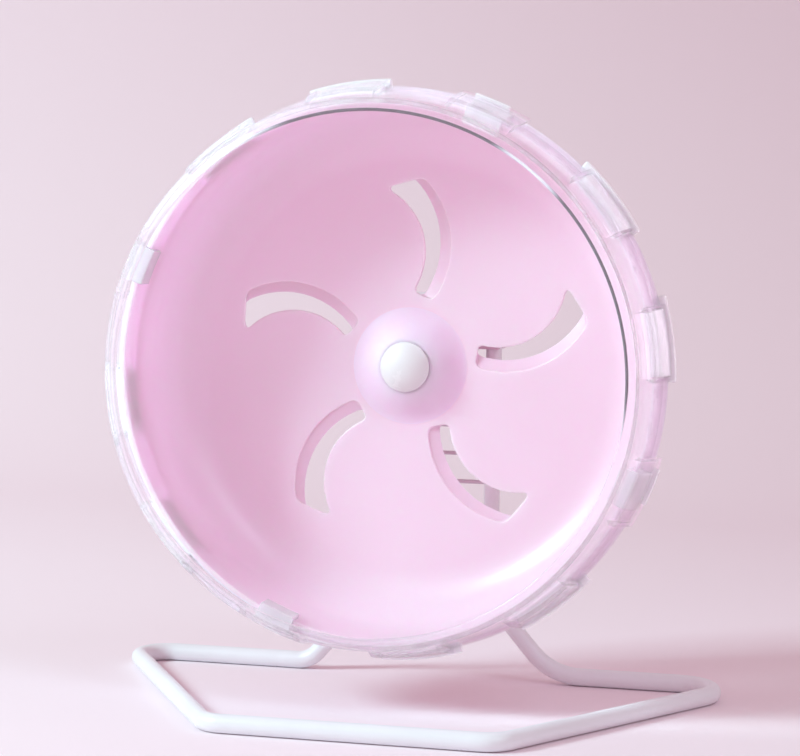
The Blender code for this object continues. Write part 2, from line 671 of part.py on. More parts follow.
def make_running_track(parent, finish_material):
    """Clear ring: a section carried round, higher over each pad."""
    mesh_data = bmesh.new()
    low = track_profile(0, 0)
    shoulder = track_profile(PAD_RISE, 0)
    high = track_profile(PAD_RISE, PAD_RISE)
    middle = PAD_ARC / 3
    rings = []
    for start in pad_starts():
        end = start + PAD_ARC
        stations = [(start + PAD_EDGE_ANGLE, shoulder), (start + POCKET_EDGE_ANGLE, high)]
        stations += [(start + middle, high), (end - middle, high)]
        stations += [(end - POCKET_EDGE_ANGLE, high), (end - PAD_EDGE_ANGLE, shoulder)]
        stations += [(end + PAD_EDGE_ANGLE, low), (end + middle, low)]
        stations += [(end + PAD_ARC - middle, low), (end + PAD_ARC - PAD_EDGE_ANGLE, low)]
        for angle, profile in stations:
            rings += sector(profile, angle, angle, 1)[:1]
    loft(mesh_data, rings, closed=True)
    return finish("running_track", mesh_data, finish_material, parent)


def clip_profile():
    """Hook over the dish's rim, with a wedge leg in the pad's pocket."""
    inner = DISH_RIM_RADIUS - SEAT_GAP
    outer = DISH_RIM_RADIUS + DISH_WALL + SEAT_GAP
    web_end = DISH_RIM_DEPTH - SEAT_GAP
    web_start = CLIP_WEB_DEPTH
    under = -TRACK_WALL - SEAT_GAP
    points = [(inner - CLIP_LEG, web_start), (track_radius(web_start, PAD_RISE) + under, web_start)]
    points.append((track_radius(TRACK_REAR_DEPTH, PAD_RISE) + under, TRACK_REAR_DEPTH))
    points += [(outer, TRACK_REAR_DEPTH), (outer, web_end), (inner, web_end)]
    points += [(inner, web_end + CLIP_REACH), (inner - CLIP_LEG, web_end + CLIP_REACH)]
    return points


def make_rim_clips(parent, finish_material):
    number = 0
    for pad, start in enumerate(pad_starts()):
        if not holds_clip(pad):
            continue
        number += 1
        middle = start + PAD_ARC / 2
        mesh_data = bmesh.new()
        loft(mesh_data, sector(clip_profile(), middle - CLIP_ARC / 2, middle + CLIP_ARC / 2, 3))
        finish("rim_clip_%d" % number, mesh_data, finish_material, parent)


def make_hub_cap(parent, finish_material):
    """Domed cap with a short skirt that plugs into the hub."""
    rise = CAP_DOME
    edge = CAP_EDGE
    sphere = (CAP_RADIUS * CAP_RADIUS + (rise - edge) ** 2) / (2 * (rise - edge))
    skirt = NUT_CAVITY_RADIUS - SEAT_GAP
    hollow = skirt - CAP_WALL
    pieces = 6
    widest = math.asin(CAP_RADIUS / sphere)
    points = []
    for step in range(pieces + 1):
        angle = widest * step / pieces
        points.append((sphere * math.sin(angle), sphere * (1 - math.cos(angle))))
    points += [(CAP_RADIUS, rise), (skirt, rise), (skirt, rise + SEAT_GAP + CAP_SKIRT)]
    points += [(hollow, rise + SEAT_GAP + CAP_SKIRT), (hollow, rise - CAP_WALL), (0, CAP_WALL)]
    depth = HUB_FACE_DEPTH - SEAT_GAP - rise
    return turned("hub_cap", points, depth, parent, finish_material)


def groove(side):
    """The ball track of a race, side being 1 for the outer race, -1 for the inner."""
    radius = BALL_RADIUS + SEAT_GAP
    edge = OUTER_RACE_RADIUS if side > 0 else INNER_RACE_RADIUS
    reach = abs(edge - RACE_MIDDLE)
    widest = math.acos(reach / radius)
    points = []
    pieces = 6
    for step in range(pieces + 1):
        angle = widest * (2 * step / pieces - 1)
        points.append((RACE_MIDDLE + side * radius * math.cos(angle), BEARING_WIDTH / 2 + radius * math.sin(angle)))
    return points


def make_inner_race(parent, finish_material):
    width = BEARING_WIDTH
    bore = BEARING_BORE_RADIUS
    points = [(bore, 0), (INNER_RACE_RADIUS, 0)] + groove(-1)
    points += [(INNER_RACE_RADIUS, width), (bore, width)]
    return turned("bearing_inner_race", points, BEARING_DEPTH, parent, finish_material)


def make_outer_race(parent, finish_material):
    width = BEARING_WIDTH
    outside = BEARING_OUTER_RADIUS
    points = [(outside, 0), (OUTER_RACE_RADIUS, 0)] + groove(1)
    points += [(OUTER_RACE_RADIUS, width), (outside, width)]
    return turned("bearing_outer_race", points, BEARING_DEPTH, parent, finish_material)


def make_shields(parent, finish_material):
    inner = INNER_RACE_RADIUS + SEAT_GAP
    outer = OUTER_RACE_RADIUS - SEAT_GAP
    rear = BEARING_WIDTH - SHIELD_INSET - SHIELD_THICKNESS
    for name, inset in (("bearing_shield_front", SHIELD_INSET), ("bearing_shield_rear", rear)):
        outline = ring_outline(inner, outer, SHIELD_THICKNESS)
        turned(name, outline, BEARING_DEPTH + inset, parent, finish_material)


def ball_set(mesh_data, radius, depth, detail):
    for number in range(BALL_COUNT):
        across, up = ball_place(number)
        made = bmesh.ops.create_icosphere(mesh_data, subdivisions=detail, radius=radius)
        bmesh.ops.translate(mesh_data, verts=made["verts"], vec=(across, depth, up))


def ball_place(number):
    return polar(RACE_MIDDLE, 90 + 360 * number / BALL_COUNT)


def shared_copy(name, first, parent, place):
    """Another object that shares the mesh of the first one."""
    made = bpy.data.objects.new(name, first.data)
    bpy.context.collection.objects.link(made)
    made.parent = parent
    made.location = place
    return made


def make_balls(parent, finish_material):
    mesh_data = bmesh.new()
    bmesh.ops.create_icosphere(mesh_data, subdivisions=2, radius=BALL_RADIUS)
    depth = BEARING_DEPTH + BEARING_WIDTH / 2
    across, up = ball_place(0)
    first = finish("bearing_ball_1", mesh_data, finish_material, parent, (across, depth, up), 60.0)
    for number in range(1, BALL_COUNT):
        across, up = ball_place(number)
        shared_copy("bearing_ball_%d" % (number + 1), first, parent, (across, depth, up))


def make_cage(parent, finish_material):
    """Crown cage: a ring with a pocket for each ball, open to the front."""
    inner = RACE_MIDDLE - CAGE_HALF_THICKNESS
    outer = RACE_MIDDLE + CAGE_HALF_THICKNESS
    middle = BEARING_DEPTH + BEARING_WIDTH / 2
    outline = ring_outline(inner, outer, CAGE_FRONT + CAGE_REAR)
    made = turned("bearing_cage", outline, middle - CAGE_FRONT, parent, finish_material)
    pockets = bmesh.new()
    ball_set(pockets, BALL_RADIUS + SEAT_GAP, middle, 2)
    combine(made, cutter("cage_pocket_cutter", pockets, parent), "DIFFERENCE")
    return made


def make_retainer(parent, finish_material):
    outline = ring_outline(RETAINER_BORE, BOSS_RADIUS - SEAT_GAP, RETAINER_THICKNESS)
    made = turned("bearing_retainer", outline, RETAINER_DEPTH, parent, finish_material)
    holes = bmesh.new()
    for number in range(SCREW_COUNT):
        across, up = screw_place(number)
        start = RETAINER_DEPTH - OVERRUN
        drill_hole(holes, across, up, start, RETAINER_DEPTH + RETAINER_THICKNESS + OVERRUN)
    combine(made, cutter("retainer_hole_cutter", holes, parent), "DIFFERENCE")
    return made


def make_retainer_screws(parent, finish_material):
    """Three screws, each a turned shank and head about its own line."""
    head_depth = RETAINER_DEPTH + RETAINER_THICKNESS + SEAT_GAP
    tip = BEARING_REAR - SCREW_LENGTH + SEAT_GAP
    end = head_depth + SCREW_HEAD
    profile = [(0, tip), (SCREW_RADIUS, tip), (SCREW_RADIUS, head_depth)]
    profile += [(SCREW_HEAD_RADIUS, head_depth), (SCREW_HEAD_RADIUS, end - SCREW_HEAD / 3)]
    profile += [(SCREW_HEAD_RADIUS - SCREW_HEAD / 3, end), (0, end)]
    mesh_data = bmesh.new()
    spin_profile(mesh_data, profile, TINY_STEPS)
    across, up = screw_place(0)
    first = finish("retainer_screw_1", mesh_data, finish_material, parent, (across, 0, up))
    for number in range(1, SCREW_COUNT):
        across, up = screw_place(number)
        shared_copy("retainer_screw_%d" % (number + 1), first, parent, (across, 0, up))


def hexagon(radius):
    return [(radius * math.cos(math.tau * side / 6), radius * math.sin(math.tau * side / 6)) for side in range(6)]


def make_axle_bolt(parent, finish_material):
    """Shank from past the nut to the hexagon head behind the clamp plate."""
    mesh_data = bmesh.new()
    start = NUT_DEPTH - BOLT_TIP
    middle = BOLT_HEAD_DEPTH + BOLT_HEAD / 2
    spin_profile(mesh_data, [(0, start), (BOLT_RADIUS, start), (BOLT_RADIUS, middle), (0, middle)], SMALL_STEPS)
    made = finish("axle_bolt", mesh_data, finish_material, parent)
    head = bmesh.new()
    ends = (BOLT_HEAD_DEPTH, BOLT_HEAD_DEPTH + BOLT_HEAD)
    loft(head, [[(across, depth, up) for across, up in hexagon(HEX_CORNER_RADIUS)] for depth in ends])
    combine(made, cutter("bolt_head_guide", head, parent), "UNION")
    return made


def make_lock_nut(parent, finish_material):
    mesh_data = bmesh.new()
    outline = hexagon(HEX_CORNER_RADIUS)
    ends = (0, NUT_THICKNESS)
    loft(mesh_data, [[(across, depth, up) for across, up in outline] for depth in ends])
    made = finish("lock_nut", mesh_data, finish_material, parent, (0, NUT_DEPTH, 0))
    combine(made, axle_hole("nut_hole_cutter", NUT_DEPTH, NUT_THICKNESS, parent), "DIFFERENCE")
    return made


def make_axle_rings(parent, zinc, aluminium):
    """Washers and the sleeve that keeps the bearing off the bracket."""
    bore = BEARING_BORE_RADIUS
    washer = ring_outline(bore, NUT_WASHER_RADIUS, WASHER_THICKNESS)
    turned("nut_washer", washer, NUT_WASHER_DEPTH, parent, zinc)
    washer = ring_outline(bore, BOLT_WASHER_RADIUS, WASHER_THICKNESS)
    turned("bolt_washer", washer, BOLT_WASHER_DEPTH, parent, zinc)
    sleeve = ring_outline(bore, SLEEVE_RADIUS, SLEEVE_LENGTH)
    turned("spacer_sleeve", sleeve, SLEEVE_DEPTH, parent, aluminium)


def build():
    clear_scene()
    looks = make_materials()
    axle_place = (0, LIP_Y, AXLE_HEIGHT)
    axle = empty("axle", axle_place)
    wheel = empty("wheel_axis", axle_place)
    balls = empty("ball_set_axis", axle_place)

    make_stand_frame(None, looks["powder_coat"])
    make_rungs(axle, looks["rung_coat"])
    make_axle_bracket(axle, looks["bracket"])
    make_clamp_plate(axle, looks["clamp"])
    make_axle_bolt(axle, looks["zinc"])
    make_lock_nut(axle, looks["zinc"])
    make_axle_rings(axle, looks["zinc"], looks["sleeve"])
    make_inner_race(axle, looks["race"])

    make_dish(wheel, looks["dish"])
    make_running_track(wheel, looks["track"])
    make_rim_clips(wheel, looks["clip"])
    make_hub_cap(wheel, looks["cap"])
    make_outer_race(wheel, looks["race"])
    make_shields(wheel, looks["shield"])
    make_retainer(wheel, looks["retainer"])
    make_retainer_screws(wheel, looks["zinc"])

    make_balls(balls, looks["ball"])
    make_cage(balls, looks["cage"])


build()
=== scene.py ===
import json
import math

import bmesh
import bpy
from mathutils import Matrix, Vector


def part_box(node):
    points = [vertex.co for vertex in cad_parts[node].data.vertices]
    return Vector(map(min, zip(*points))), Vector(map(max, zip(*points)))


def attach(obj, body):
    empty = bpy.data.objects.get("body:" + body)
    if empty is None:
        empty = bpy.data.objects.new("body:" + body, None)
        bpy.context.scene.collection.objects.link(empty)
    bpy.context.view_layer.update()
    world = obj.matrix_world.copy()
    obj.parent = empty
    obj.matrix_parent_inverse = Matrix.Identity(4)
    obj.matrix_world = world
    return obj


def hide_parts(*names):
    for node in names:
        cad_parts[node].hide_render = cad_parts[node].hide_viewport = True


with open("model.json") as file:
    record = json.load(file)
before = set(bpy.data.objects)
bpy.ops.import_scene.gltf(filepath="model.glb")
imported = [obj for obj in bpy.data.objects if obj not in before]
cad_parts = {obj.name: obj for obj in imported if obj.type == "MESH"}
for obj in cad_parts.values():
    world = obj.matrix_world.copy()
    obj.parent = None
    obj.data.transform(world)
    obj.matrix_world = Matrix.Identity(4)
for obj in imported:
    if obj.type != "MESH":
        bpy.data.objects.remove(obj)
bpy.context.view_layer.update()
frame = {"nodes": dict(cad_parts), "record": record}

MM = 0.001
ORIGIN = Vector((0, 0, 0))
SEAT_GAP = 0.3 * MM             # between pieces that touch on the real object

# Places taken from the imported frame
RACE_LOW, RACE_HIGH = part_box("bearing_inner_race")
AXLE_X = (RACE_LOW.x + RACE_HIGH.x) / 2
AXLE_Z = (RACE_LOW.z + RACE_HIGH.z) / 2
LIP_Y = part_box("running_track")[0].y
AXLE = Vector((AXLE_X, LIP_Y, AXLE_Z))

# Running track, depths from the lip's front face
LIP_INNER = 92.0 * MM
LIP_INNER_INSET = 0.3 * MM
LIP_INNER_DEPTH = 0.35 * MM
LIP_INNER_ROUND = 0.3 * MM
LIP_OUTER = 97.0 * MM
LIP_THICKNESS = 2.4 * MM
LIP_CREST = 92.9 * MM
LIP_CREST_DEPTH = 0.1 * MM
LIP_FALL = 2.3 * MM
LIP_ROUND = 0.9 * MM
LIP_BACK_DROP = 1.0 * MM
LIP_BACK_ROUND = 0.8 * MM
LIP_BACK_INSET = 0.2 * MM
LIP_BACK_EDGE_ROUND = 0.5 * MM
TRACK_WALL = 1.8 * MM
NECK_DEPTH = 6.0 * MM
NECK_RADIUS = 97.4 * MM
NECK_ROUND = 1.5 * MM
NECK_INNER_ROUND = 1.2 * MM
TRACK_REAR = 30.7 * MM
TRACK_REAR_RADIUS = 102.6 * MM
TRACK_SLOPE = (TRACK_REAR_RADIUS - NECK_RADIUS) / (TRACK_REAR - NECK_DEPTH)
SOFT_RAMP = 2.2 * MM
EDGE_ROUND = 0.35 * MM

# Castellations of the track; pitch, arcs and steps in degrees
PAD_START = 11.0 * MM
PAD_RAMP = 4.0 * MM
PAD_RISE = 2.0 * MM
PAD_PITCH = 30.0
PAD_ARC = 15.0
PAD_COUNT = 12
CLIP_EVERY = 3
STEP_HALF = 0.14
POCKET_EDGE = 0.75
POCKET_HALF = 0.18

# Piece along the lip's inner edge that carries a painted reflection, angles in degrees
BEAD_RADIUS = 92.78 * MM
BEAD_DEPTH = 0.86 * MM
BEAD_TUBE = 0.54 * MM
BEAD_FROM = -16.0
BEAD_TO = 128.0
BEAD_FADE = 9.0
BEAD_END_SHARE = 0.05

# Dish
DISH_WALL = 2.2 * MM
RIM_DEPTH = 20.5 * MM
RIM_RADIUS = 96.1 * MM
RIM_ROUND = 0.6 * MM
SIDE_RADIUS = 95.4 * MM
FILLET = 20.0 * MM
FLAT_RADIUS = SIDE_RADIUS - FILLET
FLOOR_DEPTH = 65.7 * MM
FLOOR_RING_SHARES = (0.25, 0.5, 0.75)
FLANGE_DEPTH = 31.0 * MM
FLANGE_RADIUS = 102.2 * MM
FLANGE_THICKNESS = 1.8 * MM
FLANGE_ROOT_ROUND = 0.3 * MM
FLANGE_ROUND = 0.5 * MM
FLANGE_BACK_ROUND = 1.2 * MM
CONE_RADIUS = 22.0 * MM
CONE_FOOT_ROUND = 0.9 * MM
HUB_FACE_DEPTH = 58.5 * MM
HUB_FACE_RADIUS = 9.9 * MM
HUB_FACE_ROUND = 0.5 * MM
NUT_CAVITY = 8.306 * MM
NUT_CAVITY_ROUND = 0.2 * MM
SEAT_RADIUS = 11.3 * MM
SEAT_ROUND = 0.3 * MM
BOSS_RADIUS = 17.4 * MM
BOSS_REAR = 73.0 * MM
BOSS_ROOT_ROUND = 1.2 * MM
BOSS_ROUND = 0.6 * MM

# Blocks under the pads and tabs on the flange; tabs from and to, in degrees from the pad's start
BLOCK_SINK = 1.0 * MM
BLOCK_BEVEL = 0.35 * MM
TAB_RADIUS = 105.0 * MM
TAB_ROOT = 1.2 * MM
TAB_SINK = 0.05 * MM
TAB_THICKNESS = 2.3 * MM
TAB_BEVEL = 0.6 * MM
LONG_TAB = (-0.4, 16.6)
SHORT_TAB = (4.9, 12.4)

# Vents; the sides' angles in degrees at the hub end, the middle and the rim end
VENT_COUNT = 5
VENT_HUB_RADIUS = 25.1 * MM
VENT_RIM_INSET = 6.0 * MM
VENT_RIM_RADIUS = FLAT_RADIUS - VENT_RIM_INSET
VENT_MID_SHARE = 0.41
VENT_HUB_SLANT = 2.0 * MM
VENT_RIM_SLANT = 3.2 * MM
VENT_CORNER = 2.6 * MM
VENT_TIP = 4.6 * MM
VENT_SLOPE_RUN = 4.3 * MM
VENT_RAISE = 1.0 * MM
VENT_SWEPT = (-1.0, -1.8, 14.6)
VENT_HOLLOW = (16.4, 11.3, 27.4)
VENT_MOUTH_ROUND = 0.55 * MM
VENT_BACK_ROUND = 0.3 * MM
VENT_WALL_START_SHARE = 0.7
VENT_WALL_BORDER = 1.0 * MM
CUT_OVERRUN = 2.0 * MM
FACE_MARGIN = 0.05 * MM

# Clips
CLIP_ARC = 8.0
CLIP_LEG = 2.0 * MM
CLIP_WEB = 2.5 * MM
CLIP_REACH = 5.3 * MM
CLIP_BEVEL = 0.4 * MM

# Cap
CAP_RADIUS = 9.3 * MM
CAP_DOME = 4.2 * MM
CAP_EDGE = 0.7 * MM
CAP_BROW_INSET = 0.2 * MM
CAP_BROW_DROP = 0.1 * MM
CAP_BROW_ROUND = 0.2 * MM
CAP_FOOT_ROUND = 0.15 * MM
CAP_SKIRT = 1.3 * MM
CAP_SKIRT_ROUND = 0.2 * MM

# Stand
ROD_RADIUS = 3.4 * MM
UPRIGHT_RADIUS = 3.1 * MM
NEAR_BAR_DEPTH = -17.5 * MM
NEAR_CORNERS = (-51.0 * MM, 54.0 * MM)
REAR_CORNERS = (-125.5 * MM, 123.3 * MM)
REAR_BENDS = (11.0 * MM, 15.0 * MM)
FEET = (-50.0 * MM, 48.2 * MM)
FOOT_BENDS = (11.0 * MM, 25.0 * MM)
UPRIGHT = 23.4 * MM
UPRIGHT_DEPTH = 105.0 * MM
KNEE_Z = 32.0 * MM
TOP_Z = 148.3 * MM
BASE_BEND = 11.0 * MM
KNEE_BEND = 14.0 * MM
TOP_BEND = 9.0 * MM

# Colours
DISH_PINK = (0.90, 0.63, 0.745)
# Vents' walls: deeper pink, painted shade in the cut recesses
VENT_WALL_PAINTED_SHADE_PINK = (0.84, 0.60, 0.725)
# Tabs and the dish's pad blocks: pale pink, partly the tabs' own tone and partly painted light
TAB_OWN_AND_PAINTED_LIGHT_PINK = (0.97, 0.84, 0.93)
# Rim wall and flange: paler pink, painted light where they show through the clear ring
RIM_PAINTED_LIGHT_PINK = (0.88, 0.73, 0.85)
# Hub cone: paler lilac of the same moulding, painted light
HUB_PAINTED_LIGHT_LILAC = (0.86, 0.675, 0.81)
RETAINER_PINK = (0.82, 0.55, 0.70)
CLEAR_TINT = (0.99, 0.965, 0.99)
CLIP_TINT = (0.99, 0.85, 0.94)
CAP_WHITE = (0.80, 0.75, 0.765)
COAT_WHITE = (0.87, 0.865, 0.91)
# Rungs, bracket and clamp: dark mauve, painted shade of the stand behind the wheel
WIRE_PAINTED_SHADE_MAUVE = (0.68, 0.58, 0.65)
PLATE_PAINTED_SHADE_MAUVE = (0.70, 0.52, 0.62)
ZINC_GREY = (0.62, 0.63, 0.66)
RACE_GREY = (0.60, 0.60, 0.62)
BALL_GREY = (0.72, 0.72, 0.74)
CAGE_BLACK = (0.14, 0.14, 0.15)
SHIELD_GREY = (0.55, 0.55, 0.57)
SLEEVE_GREY = (0.70, 0.71, 0.73)
PINK_REACH = (1.0, 0.7, 0.9)
PALE_REACH = (1.0, 0.9, 1.0)

# Lip's edge: painted reflection by angle round the axle, in degrees; dark where the edge mirrors the dark
# room, pale as painted highlight
BEAD_PAINTED_PALE_REFLECTION = (0.86, 0.82, 0.90)
BEAD_PAINTED_DARK_REFLECTION = (0.15, 0.115, 0.14)
BEAD_PAINTED_REFLECTIONS = ((-180, BEAD_PAINTED_PALE_REFLECTION), (-13, BEAD_PAINTED_PALE_REFLECTION), (-2, BEAD_PAINTED_DARK_REFLECTION), (41, BEAD_PAINTED_DARK_REFLECTION), (47, BEAD_PAINTED_PALE_REFLECTION),
               (56, BEAD_PAINTED_PALE_REFLECTION), (62, BEAD_PAINTED_DARK_REFLECTION), (106, BEAD_PAINTED_DARK_REFLECTION), (120, BEAD_PAINTED_PALE_REFLECTION), (180, BEAD_PAINTED_PALE_REFLECTION))

# Noise in the materials
NOISE_LOW = 0.3
NOISE_HIGH = 0.7
PATCH_SCALE = 60.0
PATCH_DETAIL = 4.0
SMUDGE_TIMES = 4
SMUDGE_DETAIL = 5.0
SMUDGE_ROUGHNESS = 0.6
GRAIN_DETAIL = 2.0

# Fineness; steps of angle in degrees
ROD_SIDES = 32
BEND_STEP = 4.0
LEAST_BEND_STEPS = 3
COARSE_STEP = 1.25
ANGLE_DIGITS = 4
PAD_STEP_HALVES = 4
POCKET_STEP_HALVES = 2
ROUND_STEPS = 4
SPIN_STEPS = 96
DISH_STEPS = 288
CONE_STEPS = 20
OUTER_FILLET_STEPS = 14
INNER_FILLET_STEPS = 16
VENT_SIDE_STEPS = 14
VENT_CORNER_STEPS = 8
VENT_MOUTH_STEPS = 5
TAB_STEPS = 12
CLIP_STEPS = 8
DOME_STEPS = 22
BEAD_SIDES = 16
BEAD_STEPS = 140
BACKDROP_STEPS = 24
BEVEL_SEGMENTS = 3
BEVEL_ANGLE = 35.0
DISH_SHARP = 50.0
CAP_SHARP = 40.0
LONGEST_EASE_SHARE = 0.49
EASE_MARGIN = 1.05
LEAST_LENGTH = 0.01 * MM
MERGE_REACH = 0.001 * MM


# Mesh helpers

def polar(radius, degrees):
    turn = math.radians(degrees)
    return (radius * math.cos(turn), radius * math.sin(turn))


def soft_step(value, half):
    """0 below -half, 1 above half and a smooth rise between."""
    share = min(1.0, max(0.0, (value + half) / (2 * half)))
    return share * share * (3 - 2 * share)


def eased_corner(first, tip, last, pieces):
    """Points of the curve from first to last that takes the place of a corner's tip."""
    points = []
    for piece in range(pieces + 1):
        share = piece / pieces
        points.append(first * (1 - share) ** 2 + tip * (2 * share * (1 - share)) + last * share ** 2)
    return points


def rounded_corners(corners):
    """Outline from (radius, depth, reach) corners, each corner eased over its reach."""
    points = []
    count = len(corners)
    for index, (radius, depth, reach) in enumerate(corners):
        if reach <= 0:
            points.append((radius, depth))
            continue
        here = Vector((radius, depth))
        before = Vector(corners[index - 1][:2]) - here
        after = Vector(corners[(index + 1) % count][:2]) - here
        first = here + before.normalized() * min(reach, before.length * LONGEST_EASE_SHARE)
        last = here + after.normalized() * min(reach, after.length * LONGEST_EASE_SHARE)
        points += [(spot.x, spot.y) for spot in eased_corner(first, here, last, ROUND_STEPS)]
    return points


def ring_at(section, degrees):
    """A section's (radius, depth) points, turned about the axle."""
    ring = []
    for radius, depth in section:
        across, up = polar(radius, degrees)
        ring.append((across, depth, up))
    return ring


def skin(mesh_data, rings, closed):
    """Faces between a row of rings that have the same number of points."""
    rows = [[mesh_data.verts.new(point) for point in ring] for ring in rings]
    count = len(rows[0])
    pairs = list(zip(rows, rows[1:]))
    if closed:
        pairs.append((rows[-1], rows[0]))
    for near, far in pairs:
        for index in range(count):
            after = (index + 1) % count
            mesh_data.faces.new((near[index], near[after], far[after], far[index]))
    if not closed:
        mesh_data.faces.new(rows[0])
        mesh_data.faces.new(rows[-1])


def spin(mesh_data, section, steps):
    """Turns a section about the axle. Points on the axle are merged."""
    rings = [ring_at(section, 360 * step / steps) for step in range(steps)]
    rows = [[mesh_data.verts.new(point) for point in ring] for ring in rings]
    count = len(section)
    for index, near in enumerate(rows):
        far = rows[(index + 1) % steps]
        for corner in range(count):
            after = (corner + 1) % count
            if section[corner][0] == 0 and section[after][0] == 0:
                continue
            mesh_data.faces.new((near[corner], near[after], far[after], far[corner]))
    bmesh.ops.remove_doubles(mesh_data, verts=mesh_data.verts, dist=MERGE_REACH)


def arc_blocks(mesh_data, section, first, last, steps):
    """One closed block with the given section, from one angle round the axle to another."""
    angles = [first + (last - first) * step / steps for step in range(steps + 1)]
    skin(mesh_data, [ring_at(section, angle) for angle in angles], False)


def to_object(name, mesh_data, place=AXLE):
    """Smooth object from mesh data whose zero is at place."""
    bmesh.ops.recalc_face_normals(mesh_data, faces=mesh_data.faces)
    mesh = bpy.data.meshes.new(name)
    mesh_data.to_mesh(mesh)
    mesh_data.free()
    mesh.shade_smooth()
    made = bpy.data.objects.new(name, mesh)
    bpy.context.collection.objects.link(made)
    made.location = place
    return made


def apply_modifiers(made):
    """Bakes the modifiers into the mesh."""
    bpy.context.view_layer.update()
    graph = bpy.context.evaluated_depsgraph_get()
    baked = bpy.data.meshes.new_from_object(made.evaluated_get(graph), depsgraph=graph)
    made.modifiers.clear()
    made.data = baked
    return made


def evenly_shaded(made):
    normals = made.modifiers.new("even_shading", "WEIGHTED_NORMAL")
    normals.keep_sharp = True
    return apply_modifiers(made)


def smoothed(made, sharp):
    """Smooth shading but for edges that turn by more than sharp, in degrees."""
    made.data.shade_smooth()
    made.data.set_sharp_from_angle(angle=math.radians(sharp))
    return evenly_shaded(made)


def bevelled(made, width):
    """Rounds the edges that turn by more than BEVEL_ANGLE."""
    bevel = made.modifiers.new("round_edges", "BEVEL")
    bevel.width = width
    bevel.segments = BEVEL_SEGMENTS
    bevel.limit_method = "ANGLE"
    bevel.angle_limit = math.radians(BEVEL_ANGLE)
    return evenly_shaded(made)


def cut(made, tool):
    """Takes the tool's shape out of the object and removes the tool."""
    boolean = made.modifiers.new("cut", "BOOLEAN")
    boolean.operation = "DIFFERENCE"
    boolean.solver = "MANIFOLD"
    boolean.object = tool
    apply_modifiers(made)
    bpy.data.objects.remove(tool, do_unlink=True)
    return made


# Materials; the numbers are the colour sockets of a Mix node

MIX_A = 6
MIX_B = 7
MIX_RESULT = 2


def node(tree, kind, **settings):
    """New shader node with the given properties."""
    made = tree.nodes.new(kind)
    for key, value in settings.items():
        setattr(made, key, value)
    return made


def noise(tree, vector, scale, detail, roughness=0.5):
    made = node(tree, "ShaderNodeTexNoise")
    made.inputs["Scale"].default_value = scale
    made.inputs["Detail"].default_value = detail
    made.inputs["Roughness"].default_value = roughness
    tree.links.new(vector, made.inputs["Vector"])
    return made.outputs["Fac"]


def spread(tree, value, low, high):
    """Maps a noise value onto low..high."""
    made = node(tree, "ShaderNodeMapRange")
    made.inputs["From Min"].default_value = NOISE_LOW
    made.inputs["From Max"].default_value = NOISE_HIGH
    made.inputs["To Min"].default_value = low
    made.inputs["To Max"].default_value = high
    tree.links.new(value, made.inputs["Value"])
    return made.outputs["Result"]


def ranged(tree, value, start, end, **settings):
    """0 where the value is at start, 1 where it is at end."""
    made = node(tree, "ShaderNodeMapRange", **settings)
    made.inputs["From Min"].default_value = start
    made.inputs["From Max"].default_value = end
    tree.links.new(value, made.inputs["Value"])
    return made.outputs["Result"]


def tinted(tree, factor, first, second):
    """A mix of two colours."""
    made = node(tree, "ShaderNodeMix", data_type="RGBA")
    made.inputs[MIX_A].default_value = (*first, 1)
    made.inputs[MIX_B].default_value = (*second, 1)
    tree.links.new(factor, made.inputs["Factor"])
    return made.outputs[MIX_RESULT]


def finish(name, base, vary, rough, rough_vary, grain, bump_mm, patch=PATCH_SCALE, **shader):
    """Moulded, coated or metal finish: slow colour patches, roughness smudges and a fine grain."""
    made = bpy.data.materials.new(name)
    made.use_nodes = True
    tree = made.node_tree
    surface = tree.nodes["Principled BSDF"]
    place = node(tree, "ShaderNodeTexCoord").outputs["Object"]
    slow = spread(tree, noise(tree, place, patch, PATCH_DETAIL), 0, 1)
    other = tuple(min(1.0, channel * (1 + vary)) for channel in base)
    tree.links.new(tinted(tree, slow, base, other), surface.inputs["Base Color"])
    smudge = noise(tree, place, patch * SMUDGE_TIMES, SMUDGE_DETAIL, SMUDGE_ROUGHNESS)
    roughness = spread(tree, smudge, rough - rough_vary, rough + rough_vary)
    tree.links.new(roughness, surface.inputs["Roughness"])
    bump = node(tree, "ShaderNodeBump")
    bump.inputs["Strength"].default_value = 1.0
    bump.inputs["Distance"].default_value = bump_mm * MM
    tree.links.new(noise(tree, place, grain, GRAIN_DETAIL), bump.inputs["Height"])
    tree.links.new(bump.outputs["Normal"], surface.inputs["Normal"])
    for key, value in shader.items():
        surface.inputs[key.replace("_", " ")].default_value = value
    return made


def moulded(name, base, depth_mm, reach, vary=0.012, rough=0.36, rough_vary=0.03, grain=260,
            bump_mm=0.004, patch=25.0, weight=1.0, **shader):
    """Plastic that light goes into, to a depth and with a reach for each colour."""
    return finish(name, base, vary, rough, rough_vary, grain, bump_mm, patch,
                  Subsurface_Weight=weight, Subsurface_Scale=depth_mm * MM,
                  Subsurface_Radius=reach, **shader)


def pale_moulded(name, base, depth_mm, rough, **shader):
    """Paler plastic of the rim's pieces; where it is given to the rim wall, flange and the dish's pad
    blocks, the paler tone is painted light.
    """
    return moulded(name, base, depth_mm, PALE_REACH, vary=0.01, rough=rough, rough_vary=0.04,
                   grain=600, patch=60.0, **shader)


def metal(name, base, vary, rough, rough_vary, grain, bump_mm):
    """Bare or plated metal, with small patches."""
    return finish(name, base, vary, rough, rough_vary, grain, bump_mm, patch=300.0, Metallic=1.0)


